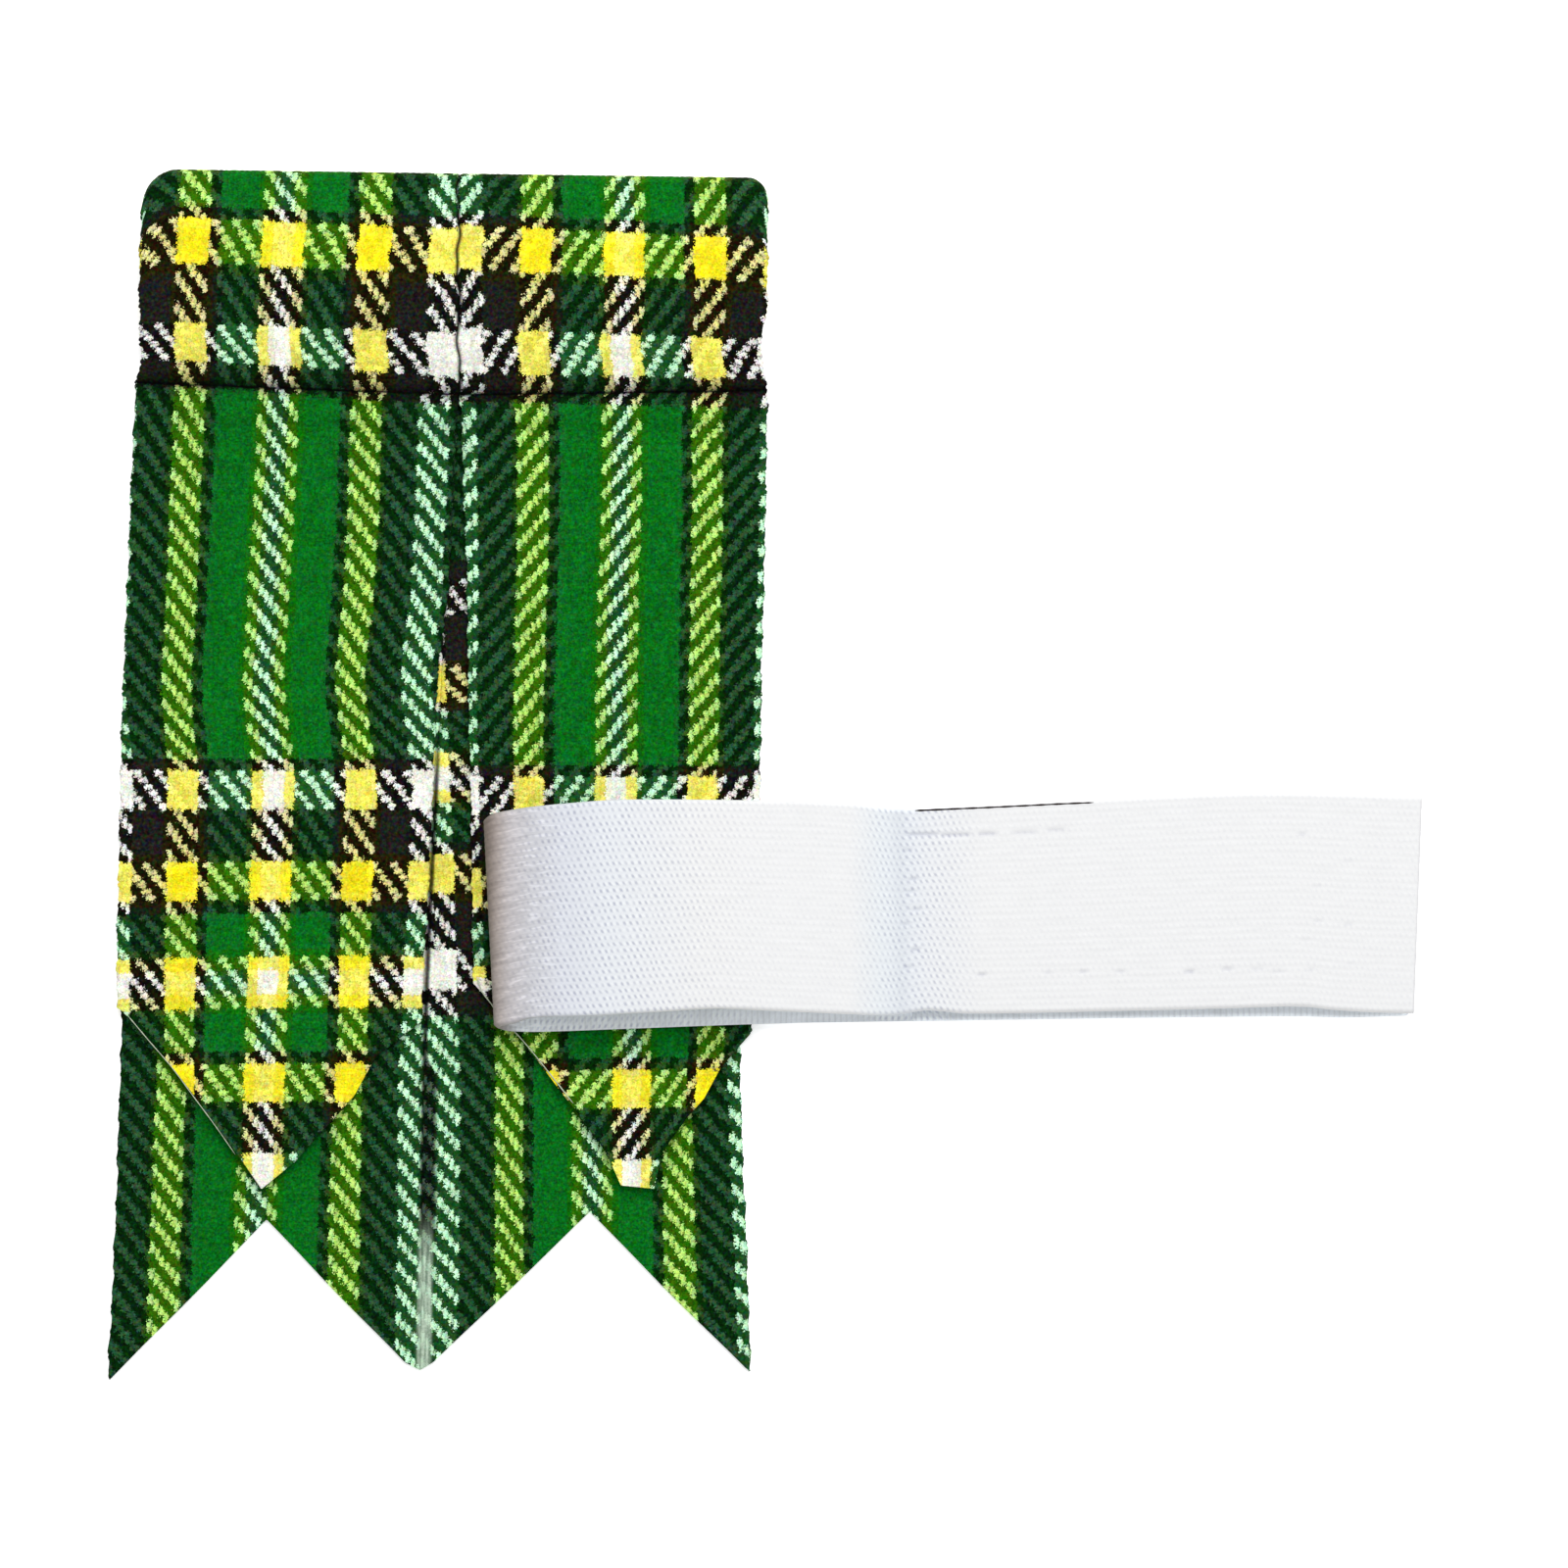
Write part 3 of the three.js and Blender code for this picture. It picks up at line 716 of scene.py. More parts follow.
# %% Where the chart's rows lie
FRONT_ROWS = {
    "thread": [57, 61.6, 95.5, 104, 106, 112, 120, 126, 129, 186, 188, 194, 202, 208, 210, 217, 225,
               232, 234, 240, 248, 254, 257],
    "along": [73.5, 69.05, 36.3, 27.5, 25.7, 18.9, 10.1, 3.6, 0.0, -57.4, -58.8, -65.0, -73.4,
              -79.5, -81.7, -88.6, -96.8, -103.8, -105.6, -111.7, -119.8, -126.0, -129.2],
}
BACK_ROWS = {
    "thread": [25, 63, 70, 77, 85.5, 93, 109, 116, 123, 129, 186, 190],
    "along": [5.4, -32.6, -38.8, -46.6, -53.5, -61.3, -75.8, -83.8, -91.6, -97.8, -156.0, -160.1],
}
FRONT_EDGES = {
    "left": {
        "down": [0, 0.242, 0.36, 0.487, 0.781, 1],
        "left": [-1.024, -1.052, -1.064, -1.075, -1.084, -1.09],
        "right": [-0.012, -0.04, -0.074, -0.09, -0.124, -0.15],
        "point": ([0, 0.04, 0.18, 0.26, 0.43, 0.49, 0.60, 0.735, 0.79, 0.855, 1],
                  [1.05, 0.985, 0.70, 0.525, 0.145, 0.0, 0.155, 0.415, 0.525, 0.745, 0.95]),
        "threads": (5.8, 67.0),
        "head_slant": ([0.1, 0.4, 0.7, 0.95], [0.7, 0.6, -0.05, -1.3]),
        "head_top": ([0.1, 0.4, 0.7, 0.95], [-0.1, -0.5, -1.0, -1.8]),
        "neck_slant": ([0, 1], [0, 0]),
        "tail_slant": ([0, 0.3, 0.5, 0.8], [-2.2, -2.3, -3.0, -3.2]),
        "slant_from": (172, 192),
        "rows_down": 0.0,
        "rows_tilt": 0.03,
        "tilt_middle": -29.4,
        "corner": 5.5,
        "outer": "left",
    },
    "right": {
        "down": [0, 0.242, 0.487, 0.781, 1],
        "left": [0.006, 0.025, 0.034, 0.05, 0.06],
        "right": [0.972, 0.96, 0.947, 0.918, 0.9],
        "point": ([0, 0.145, 0.305, 0.353, 0.477, 0.535, 0.66, 0.685, 0.779, 0.841, 0.896, 0.96, 1],
                  [1.18, 0.90, 0.56, 0.47, 0.215, 0.02, 0.0, 0.20, 0.40, 0.51, 0.68, 0.80, 0.88]),
        "threads": (4.5, 61.0),
        "head_slant": ([0.05, 0.22, 0.5, 0.77, 0.87, 1], [-3.1, -2.7, -2.1, -1.1, -0.8, -0.5]),
        "head_top": ([0.05, 0.22, 0.5, 0.77, 1], [-2.9, -3.0, -2.3, -0.65, -0.5]),
        "neck_slant": ([0, 0.1, 0.45, 0.65, 0.8], [-0.9, -1.45, -1.45, -0.7, 0]),
        "tail_slant": ([0, 0.2, 0.5, 0.7, 0.85, 1], [-0.75, -1.5, -4.0, -3.9, -2.9, -2.5]),
        "slant_from": (195, 225),
        "rows_down": -1.0,
        "rows_tilt": 0.035,
        "tilt_middle": 25.0,
        "corner": 3.1,
        "outer": "right",
    },
}
BACK_EDGES = {
    "left": {
        "down": [0, 0.398, 0.637, 1],
        "left": [-1.01, -1.066, -1.071, -1.111],
        "right": [-0.0135, -0.0775, -0.1105, -0.1280],
        "notch": ([0, 0.492, 0.95, 1], [-0.045, 1, 0.071, 0.02]),
        "shift": ([0, 1], [0.3, 0.3]),
        "threads": (6.05, 64.5),
        "slant": 0.0,
    },
    "right": {
        "down": [0, 0.398, 0.637, 1],
        "left": [-0.0135, -0.0775, -0.1105, -0.1280],
        "right": [0.96, 0.92, 0.886, 0.916],
        "notch": ([0, 0.04, 0.522, 1], [0.02, 0.071, 1.05, 0.01]),
        "shift": ([0, 0.08, 0.25, 0.45, 0.7, 0.8, 1], [-0.7, -1.1, -1.1, 0, 0.5, 0.5, 0]),
        "threads": (0.0, 62.0),
        "slant": 8.0,
    },
}
print("threads in a front:", FRONT_EDGES["left"]["threads"], FRONT_EDGES["right"]["threads"])

# %% [markdown]
# Every thread gets three points across its width, so its round back and the hollow beside it are
# real shape. Behind the sleeve and under the cloth, where nobody looks closely, the rows are far
# apart and the threads flat.

# %% Rows and columns of a cloth
POINTS_PER_THREAD = 3
THREAD_RELIEF = 0.11


def fine_counts(first, last):
    """Thirds of a thread from first to last, with both ends."""
    inner = np.arange(np.ceil(first * POINTS_PER_THREAD), np.floor(last * POINTS_PER_THREAD) + 1)
    counts = np.concatenate([[first], inner / POINTS_PER_THREAD, [last]])
    return counts[np.concatenate([[True], np.diff(counts) > 0.02])]


def cloth_edges(cloth, y, length, share):
    """The place across of a share of the width, between the two edges at the height y."""
    down = np.clip(-y / length, 0, 1)
    left = smooth(cloth["down"], cloth["left"], down) * FLASH_WIDTH
    right = smooth(cloth["down"], cloth["right"], down) * FLASH_WIDTH
    return left + (right - left) * share


def stopping_rows(shape, depth, length, share, chart_rows, shift):
    """The count at which each column stops: its place on the straight cuts, read as threads."""
    y = -length + np.interp(share, *shape) * depth
    order = np.argsort(chart_rows["along"])
    along = np.array(chart_rows["along"])[order] + shift
    return np.interp(y, along, np.array(chart_rows["thread"])[order])


def plain_columns(threads, cuts):
    """Columns of an inner face: eleven, and one at every corner of the cuts."""
    first, last = threads
    corners = first + (last - first) * np.array(cuts[0])
    return np.unique(np.concatenate([np.linspace(first, last, 11), corners]).round(3))


def waves(across, down):
    """Slow wandering of the threads, in mm: a sum of three sines of the two counts."""
    return (
        0.10 * np.sin(0.071 * down + 0.19 * across)
        + 0.07 * np.sin(0.163 * down - 0.11 * across + 1.7)
        + 0.05 * np.sin(0.37 * down + 0.07 * across + 0.6)
    )


print("rows of a fine front:", len(fine_counts(92, 254)))

# %% [markdown]
# The real stripes aren't ruler straight. The weft's turns stand out at the sides as small loops,
# and the warp shifts a thread or two between the heads, the middle and the tails. Short tables
# hold these shifts, because a noise would put them in other places than the photograph does.

# %% How a front's threads shift
WARP_PITCH = 0.84
EDGE_DROP = 0.22


def side_loops(down):
    """How far the weft's turns stand out at the sides: one round bump a thread, some longer."""
    bump = np.abs(np.sin(np.pi * down)) ** 0.7
    return 0.24 * bump * (1 + 0.5 * np.sin(1.9 * down)) + 0.12 * np.sin(0.83 * down + 1.0)


def thread_numbers(cloth, across, down):
    """
    The warp count that lies at a column. The stripes of the heads and of the lower tails aren't
    quite in line with those of the middle, so a column's count shifts by the tables' numbers.
    """
    first, last = cloth["threads"]
    share = (across - first) / (last - first)
    names = ("head_top", "head_slant", "neck_slant", "tail_slant")
    top, low, neck, tail = (np.interp(share, *cloth[name]) for name in names)
    head = top + (low - top) * ease(down, 101, 124)
    in_head = 1 - ease(down, 128.2, 129.4)
    in_neck = (1 - in_head) * (1 - ease(down, 135, 178))
    return across + head * in_head + neck * in_neck + tail * ease(down, *cloth["slant_from"])


def edge_fall(across, first, last):
    """The cloth's face falls away within the last thread: (1 - distance) squared, from 1 to 0."""
    side = np.minimum(across - first, last - across) * WARP_PITCH
    return np.clip(1 - side / 0.7, 0, 1) ** 2


print("loops stand out by up to", side_loops(np.linspace(0, 60, 600)).max().round(2), "mm")

# %% [markdown]
# Three things shape the outline of a front. Its rows are tilted and bend a little near the tip,
# its head has a rounded outer corner and a seam that bends, and its inner edge swings over to
# meet the other head. Each is a short function of whole arrays, so each can be changed alone.

# %% The shape of the front cloths
def row_places(cloth, down, share, x):
    """The distance up the cloth of every point: its row's place, tilted, and bent at the tail."""
    s = np.interp(down, FRONT_ROWS["thread"], FRONT_ROWS["along"])
    tilt = cloth["rows_tilt"] * (x - cloth["tilt_middle"])
    s = s - tilt * (1 - ease(down, 129, 150)) * ease(down, 96, 106)
    s = s + (0.3 * np.sin(np.pi * share) - 0.6 * (1 - share) + 0.3) * ease(down, 195, 220)
    return s + cloth["rows_down"] * ease(down, 96, 104)


def head_height(cloth, x, y, outer_share):
    """
    The height with the head's corner cut to a quarter circle, r - r sqrt(1 - (1 - a) squared),
    the whole head a little higher on the left, and the seam bent.
    """
    corner = cloth["corner"]
    in_corner = np.clip(outer_share * FLASH_WIDTH / corner, 0, 1)
    cut = corner * (1 - np.sqrt(1 - (1 - in_corner) ** 2))
    lift = np.interp(x, [-52, 48], [1.45, 0.05])
    bend = np.interp(x, [-51, -25, 0, 25, 48], [1.6, 0.6, -0.3, 0.0, 0.4])
    return y + (lift - cut) * ease(y, 4, 32) + bend * np.exp(-((y / 7) ** 2))


def place_across(cloth, y, share, outer_share):
    """The place across: between the two edges, swung over to the other head above the seam."""
    is_right = cloth["outer"] == "right"
    x = cloth_edges(cloth, np.minimum(y, 0), FRONT_LENGTH, share)
    if is_right:
        x = x - 1.1 * share * np.exp(-(((y - 7) / 4) ** 2))
    else:
        x = x + (1 - share) * (0.95 * ease(y, 1, 5) + 0.2 * ease(y, 20, 33))
    meeting = -0.1 + 0.2 * np.sin(0.55 * y) + 0.12 * np.sin(1.3 * y + 1)
    inner_share = np.full_like(share, 1 - is_right)
    inner_edge = cloth_edges(cloth, np.minimum(y, 0), FRONT_LENGTH, inner_share)
    to_meeting = meeting + (0.02 if is_right else -0.02) - inner_edge
    return x + outer_share * to_meeting * ease(y, -3, 1)


def front_points(cloth, across, down, outward, fine):
    """
    Points of a front's outer face (outward +1) or inner face (-1) at thread counts across and
    down. The cloth's line is moved along its own normal by half a thickness and the threads.
    """
    first, last = cloth["threads"]
    share = (across - first) / (last - first)
    is_right = cloth["outer"] == "right"
    outer_share = 1 - share if is_right else share
    x = cloth_edges(cloth, np.zeros_like(share), FRONT_LENGTH, share)
    s = row_places(cloth, down, share, x)
    y, z = front_line(s)
    y_ahead, z_ahead = front_line(s + 0.05)
    run, rise = y_ahead - y, z_ahead - z
    length = np.hypot(run, rise) + 1e-9
    away = outward * CLOTH / 2 - outward * EDGE_DROP * edge_fall(across, first, last)
    if outward > 0:
        warp = thread_numbers(cloth, across, down)
        away = away + THREAD_RELIEF * thread_height(warp, down, 1 if is_right else -1) * fine
    y, z = y - rise / length * away, z + run / length * away
    y = head_height(cloth, x, y, outer_share)
    x = place_across(cloth, y, share, outer_share)
    # The inner sides have their loops below the seam alone, where the two fronts part.
    below_seam = 1 - ease(y, -2, 0)
    loops = side_loops(down) * fine
    x = x - loops * np.exp(-(across - first) / 0.5) * (below_seam if is_right else 1)
    x = x + loops * np.exp(-(last - across) / 0.5) * (1 if is_right else below_seam)
    sway = 0.8 * waves(across, down) * ease(-s, 2, 20)
    return np.stack([x + sway, y, z], -1)


def front_creases(cloth, across, down):
    """Painted shade from 0 to 1: in the crease along the seam, and in the gap where the two heads
    meet.
    """
    first, last = cloth["threads"]
    s = np.interp(down, FRONT_ROWS["thread"], FRONT_ROWS["along"]) + cloth["rows_down"]
    share = (across - first) / (last - first)
    x = cloth_edges(cloth, np.zeros_like(share), FRONT_LENGTH, share)
    s = s - cloth["rows_tilt"] * (x - cloth["tilt_middle"])
    seam = 0.85 * np.exp(-((s / 0.34) ** 2)) + 0.3 * np.exp(-((s / 1.3) ** 2))
    inner = across - first if cloth["outer"] == "right" else last - across
    meeting = 0.75 * np.exp(-((inner / 0.3) ** 2)) * ease(s, -2, 0)
    return np.clip(np.maximum(seam, meeting), 0, 1)


across_seam = front_creases(FRONT_EDGES["left"], 30.0, np.arange(127, 132))
print("crease at rows 127 to 131:", across_seam.round(2))

# %% [markdown]
# Now the two fronts can be made. The outer face has a row for every third of a thread from just
# behind the fold to the tip, and the inner face far fewer. Each point keeps its warp and weft
# count as its map, which the wool reads, and how much painted shade it gets in a crease.

# %% The front cloths
FIRST_ROW, LAST_ROW = 57.0, 257.0


def front_cloth(side, wool):
    """The whole front: a fine outer face, a plain inner face and the walls between."""
    cloth = FRONT_EDGES[side]
    first, last = cloth["threads"]
    shape = (cloth["point"], FRONT_POINT, FRONT_LENGTH)

    def grid(rows, columns, outward, fine):
        share = (columns - first) / (last - first)
        ends = stopping_rows(*shape, share, FRONT_ROWS, cloth["rows_down"])
        down, numbers = stopped_grid(rows, np.minimum(ends, LAST_ROW))
        across = np.broadcast_to(columns[None, :], down.shape)
        fineness = ease(rows, 90, 93)[:, None] * fine
        points = front_points(cloth, across, down, outward, fineness)
        return points, numbers, down, columns, np.stack([across, down], -1)

    rows = np.concatenate([np.arange(FIRST_ROW, 90, 2.0), fine_counts(91, LAST_ROW)])
    plain_rows = np.concatenate([
        np.arange(FIRST_ROW, 88, 2.0),
        np.arange(88, 130, 0.75),
        np.arange(131, LAST_ROW, 3.0),
        [LAST_ROW],
    ])
    outer = grid(rows, fine_counts(first, last), 1, 1.0)
    inner = grid(plain_rows, plain_columns(cloth["threads"], cloth["point"]), -1, 0.0)
    points, sets, counts = both_faces(outer, inner)
    across, down = counts[:, 0], counts[:, 1]
    threads = np.stack([thread_numbers(cloth, across, down), down], -1)
    creases = {"crease": front_creases(cloth, across, down)}
    return mesh_piece(f"{side}_front_cloth", points, sets, threads, wool, creases)


left_front = front_cloth("left", falling_twill)
right_front = front_cloth("right", climbing_twill)

# %% [markdown]
# ## The back tails
# Behind each front hangs a longer strip with a swallow-tail notch. It lies flat on the table, and
# only its lower end and a slit between the two fronts are seen, so its threads are fine there and
# coarser where the front covers them.

# %% The back cloths
BACK_LENGTH = 155.5
NOTCH_DEPTH = 24.4
BACK_CLOTH = 0.8
FIRST_BACK_ROW, LAST_BACK_ROW = 26.0, 188.0


def slit_looks(side, from_slit, down):
    """
    How much painted shade and how much wear the cloth has beside the slit between the back tails,
    each from 0 to 1, by the threads from the slit: painted shade in the dark gap above and, near
    the tips, a pale frayed strip.
    """
    rubbed = ease(down, 160, 170)
    in_shade = (1 - rubbed) * ease(down, 82, 96)
    if side == "left":
        dark = 0.75 * np.exp(-((from_slit / 0.5) ** 2)) * in_shade
        return dark, 0.75 * (1 - ease(from_slit, 0.2, 1.0)) * rubbed
    wide = ease(down, 136, 140)
    dark = 0.72 * (1 - ease(from_slit, 0.2 + 1.7 * wide, 0.8 + 2.4 * wide)) * in_shade
    return dark, 0.9 * (1 - ease(from_slit, 1.5, 2.4)) * rubbed


def back_cloth(side):
    """A flat strip from behind the seam down to its two tips, woven like the fronts."""
    cloth = BACK_EDGES[side]
    first, last = cloth["threads"]
    shape = (cloth["notch"], NOTCH_DEPTH, BACK_LENGTH)
    outer_sign = 1 if side == "right" else -1

    def grid(rows, columns, outward):
        share = (columns - first) / (last - first)
        down, numbers = stopped_grid(rows, stopping_rows(*shape, share, BACK_ROWS, 0.0))
        slant = cloth["slant"] * (1 - ease(down, 40, 150))
        across = columns[None, :] + slant + np.interp(share, *cloth["shift"])
        s = np.interp(down, BACK_ROWS["thread"], BACK_ROWS["along"])
        x = cloth_edges(cloth, s, BACK_LENGTH, np.broadcast_to(share[None, :], down.shape))
        to_sides = (columns - first, last - columns)
        to_outer, to_slit = to_sides[::-1] if side == "right" else to_sides
        from_slit = np.broadcast_to(to_slit, down.shape)
        x = x + 0.8 * waves(across, down + 31) * ease(from_slit, 0, 8)
        z = BACK_CLOTH / 2 + 0.05 + outward * BACK_CLOTH / 2
        if outward > 0:
            fine = ease(down, 122, 125)
            z = z + THREAD_RELIEF * thread_height(across, down, -1) * fine
            z = z - EDGE_DROP * edge_fall(columns, first, last)
            x = x + outer_sign * side_loops(down + 0.4) * fine * np.exp(-to_outer / 0.5)
        points = np.stack([x, s, np.broadcast_to(z, x.shape)], -1)
        looks = np.stack([across, down, *slit_looks(side, from_slit, down)], -1)
        return points, numbers, down, columns, looks

    rows = np.concatenate([np.arange(FIRST_BACK_ROW, 120, 1.0), fine_counts(120, LAST_BACK_ROW)])
    plain_rows = np.append(np.arange(FIRST_BACK_ROW, 187, 4.0), LAST_BACK_ROW)
    outer = grid(rows, fine_counts(first, last), 1)
    inner = grid(plain_rows, plain_columns(cloth["threads"], cloth["notch"]), -1)
    points, sets, looks = both_faces(outer, inner)
    numbers = {"crease": looks[:, 2], "worn": looks[:, 3]}
    return mesh_piece(f"{side}_back_cloth", points, sets, looks[:, :2], falling_twill, numbers)


left_back = back_cloth("left")
right_back = back_cloth("right")

# %% [markdown]
# Each cloth stands for its solid, which is hidden, and rides on the one body that there is.

CLOTHS = {
    left_front: ("left_front_tail", (0.051, 0.201), 0.0096, ["left_back_tail"]),
    right_front: ("right_front_tail", (0.047, 0.201), 0.0088, ["right_back_tail"]),
    left_back: ("left_back_tail", (0.050, 0.1605), 0.0074, []),
    right_back: ("right_back_tail", (0.050, 0.1605), 0.0074, []),
}
for piece, (node, flat, area, rests_on) in CLOTHS.items():
    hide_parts(node)
    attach(piece, "root")

# %% [markdown]
# ## The elastic band
# The band is one ribbed strip. From its free end it runs left over the closure, swells into the
# open loop that goes round the leg, turns under and comes back over the flash, steps down to the
# table, turns up at the far end and ends under the closure. So it is again one line seen from the
# side, a path of distance and height, with the strip's width added afterwards.

# %% The band's line, seen from the side
BAND_IN, BAND_DOWN, BAND_TILT = 4.6, -84.0, math.radians(1.0)
BAND_WIDTH = 35.0
ELASTIC = 1.3
BAND_LENGTH = 147.5
HOLLOW_LENGTH = 66.8
HOLLOW_HEIGHT = 8.4
ON_FLOOR, ON_FLASH, MIDDLE_LAYER, TOP_LAYER = 0.65, 3.25, 2.25, 6.45
TURN_RADIUS = 0.8
STEP_FROM = 43.4
LOOP_ALONG = [0.94, 0.83, 0.6, 0.37, 0.18, 0.06, 0.01, 0.04, 0.1]
LOOP_RISE = [0.3, 0.52, 0.93, 1.0, 0.93, 0.74, 0.42, 0.1, 0.0]


def straight(x0, x1, z, count=60):
    """A level stretch of the line from x0 to x1."""
    return np.stack([np.linspace(x0, x1, count), np.full(count, z)], 1)


def band_line():
    """The line as points, about half a millimetre apart, from the free end to the hidden one."""
    round_x = [HOLLOW_LENGTH - 0.3, *(np.array(LOOP_ALONG) * HOLLOW_LENGTH), HOLLOW_LENGTH * 0.2]
    round_z = [TOP_LAYER, *(ON_FLASH + np.array(LOOP_RISE) * HOLLOW_HEIGHT), ON_FLASH]
    k = np.arange(len(round_x))
    fine = np.linspace(0, k[-1], 400)
    loop = np.stack([smooth(k, round_x, fine), smooth(k, round_z, fine)], 1)
    share = np.linspace(0, 1, 30)
    step = np.stack(
        [STEP_FROM + 8 * share, ON_FLASH + (ON_FLOOR - ON_FLASH) * ease(share, 0, 1)], 1
    )
    fold_at = BAND_LENGTH - ELASTIC / 2 - TURN_RADIUS - 0.3
    angle = np.linspace(0, math.pi, 24)
    turn = np.stack(
        [fold_at + TURN_RADIUS * np.sin(angle), ON_FLOOR + TURN_RADIUS * (1 - np.cos(angle))], 1
    )
    line = np.concatenate([
        straight(BAND_LENGTH, HOLLOW_LENGTH - 0.3, TOP_LAYER)[:-1],
        loop[:-1],
        straight(HOLLOW_LENGTH * 0.2, STEP_FROM, ON_FLASH)[:-1],
        step[:-1],
        straight(STEP_FROM + 8, fold_at, ON_FLOOR)[:-1],
        turn[:-1],
        straight(fold_at, HOLLOW_LENGTH, MIDDLE_LAYER),
    ])
    steps = np.hypot(*np.diff(line, axis=0).T)
    return line, np.concatenate([[0], np.cumsum(steps)])


line_points, line_run = band_line()
LEFTMOST = float(line_run[line_points[:, 0].argmin()])
print("strip length, mm:", round(float(line_run[-1]), 1), "leftmost after", round(LEFTMOST, 1))


def band_at(run):
    """The place (x, z) on the line at a length run along it, and the direction there."""
    def place(at):
        return np.stack([np.interp(at, line_run, line_points[:, k]) for k in (0, 1)])

    x, z = place(run)
    dx, dz = place(np.clip(run + 0.4, None, line_run[-1])) - place(np.clip(run - 0.4, 0, None))
    length = np.hypot(dx, dz) + 1e-9
    return x, z, dx / length, dz / length


# %% [markdown]
# The band's two edges wander a little, and the layers don't lie quite on each other: the lower
# ones peep out below the upper one. The weave is thirty-two rows of tiny hollows, set off from
# row to row, where the rubber threads are bound in. The closure's stitches pull small dents.

# %% The band's edges and relief
BAND_NORTH = (
    [0, 1.5, 4, 7.4, 15, 22, 44, 56, 66, 78, 88, 101, 117, 128, 147.5],
    [17.0, 17.3, 17.75, 18.25, 18.85, 19.15, 18.6, 18.0, 16.8, 17.3, 17.6, 18.0, 18.45, 18.35,
     17.4],
)
TOP_SOUTH = (
    [0, 3, 5.5, 8, 16.6, 23, 28.4, 35, 41, 56, 63.5, 69, 75.5, 101, 117, 128, 133, 140, 147.5],
    [-16.2, -15.9, -15.2, -14.9, -14.8, -14.5, -14.3, -14.0, -14.3, -15.3, -15.7, -15.0, -15.6,
     -15.6, -15.5, -15.4, -16.0, -16.5, -16.8],
)
LOWER_SOUTH = (
    [0, 2.5, 7.4, 20, 41, 56, 101, 128, 135, 147.5],
    [-16.8, -17.2, -17.4, -17.2, -16.8, -16.8, -16.9, -17.1, -17.4, -17.3],
)
ROWS = 32
DOT_PITCH = 1.0
LOWER_SHIFT = 1.2


def band_edges(x, run):
    """The two edges, north and south, in mm at the place x of the layer that the run is on."""
    north = smooth(*BAND_NORTH, np.clip(x, 0, BAND_LENGTH))
    under = ease(run, LEFTMOST - 3, LEFTMOST + 3)
    top_south = smooth(*TOP_SOUTH, np.clip(x, 0, BAND_LENGTH))
    lower_south = smooth(*LOWER_SOUTH, np.clip(x, 0, BAND_LENGTH))
    return north - LOWER_SHIFT * under, top_south + (lower_south - top_south) * under


# The stitches that show on the top layer: (mm along, mm across, half its length, depth).
STITCHES = [
    (68.8, 12.8, 2.0, 0.9), (74.1, 12.6, 2.0, 0.8), (79.1, 12.7, 1.1, 0.8),
    (84.9, 12.8, 1.6, 0.5), (89.8, 13.1, 1.0, 0.5), (66.5, 10.3, 0.3, 0.6),
    (67.3, 5.8, 0.3, 0.8), (66.9, 3.9, 0.25, 0.6), (67.6, 1.0, 0.3, 0.7),
    (66.0, -1.3, 0.25, 0.5), (67.4, -5.4, 0.3, 0.8), (66.3, -8.1, 0.3, 0.5),
    (77.8, -9.5, 0.3, 0.8), (88.3, -9.4, 0.3, 0.4), (93.8, -9.3, 0.3, 0.6),
    (99.7, -9.4, 0.4, 0.5), (110.6, -9.6, 0.35, 0.9), (116.6, -9.3, 0.5, 0.6),
    (121.3, -9.4, 0.7, 0.3), (124.7, -9.8, 0.6, 0.3), (129.7, -9.7, 0.3, 0.3),
    (128.7, 11.8, 0.25, 0.5), (131.0, 3.6, 0.3, 0.25), (131.0, -2.0, 0.3, 0.35),
    (129.0, -4.9, 0.3, 0.2), (136.0, -2.6, 0.35, 0.3), (136.4, -8.8, 0.3, 0.2),
    (136.0, 7.4, 0.3, 0.2),
]


def stitch_dents(x, y):
    """How deep the stitches pull the elastic, from 0 to 1: a short soft-ended groove for each."""
    dent = np.zeros(np.broadcast(x, y).shape)
    for along, across, half, depth in STITCHES:
        past = np.maximum(np.abs(x - along) - half, 0)
        dent = np.maximum(dent, depth * np.exp(-((past / 0.35) ** 2) - ((y - across) / 0.3) ** 2))
    return dent


def band_points(run, share, outward, fine):
    """
    Points of the strip at lengths along it and shares of its width. The line is moved along its
    normal by half the elastic and the relief; the whole is turned by one degree and put in place.
    """
    x, z, dx, dz = band_at(run)
    north, south = band_edges(x, run)
    y = north + (south - north) * share
    rib = 0.5 - 0.5 * np.cos(2 * np.pi * share * ROWS)
    on_top = (run < line_run[-1] * 0.3) & (x > 60)
    dents = stitch_dents(x, y) * on_top * fine
    relief = 0.04 * rib - 0.28 * dents if outward > 0 else 0.0
    side = np.minimum(share, 1 - share) * BAND_WIDTH
    away = outward * (ELASTIC / 2 - 0.45 * np.clip(1 - side / 0.6, 0, 1) ** 2) + relief
    px, pz = x + dz * away, z - dx * away
    # Neither end is quite square: the fold leans in at the bottom, and so does the cut end.
    px = px + (1.1 * share - 0.4) * (1 - ease(x, 0, 14)) - (1.9 * share - 0.3) * ease(x, 130, 147)
    cos, sin = math.cos(BAND_TILT), math.sin(BAND_TILT)
    points = np.stack([BAND_IN + px * cos - y * sin, BAND_DOWN + px * sin + y * cos, pz], -1)
    return points, np.clip(dents, 0, 1) * np.ones_like(px)


print("dent check:", stitch_dents(np.array([68.8, 80.0]), np.array([12.8, 0.0])).round(2))
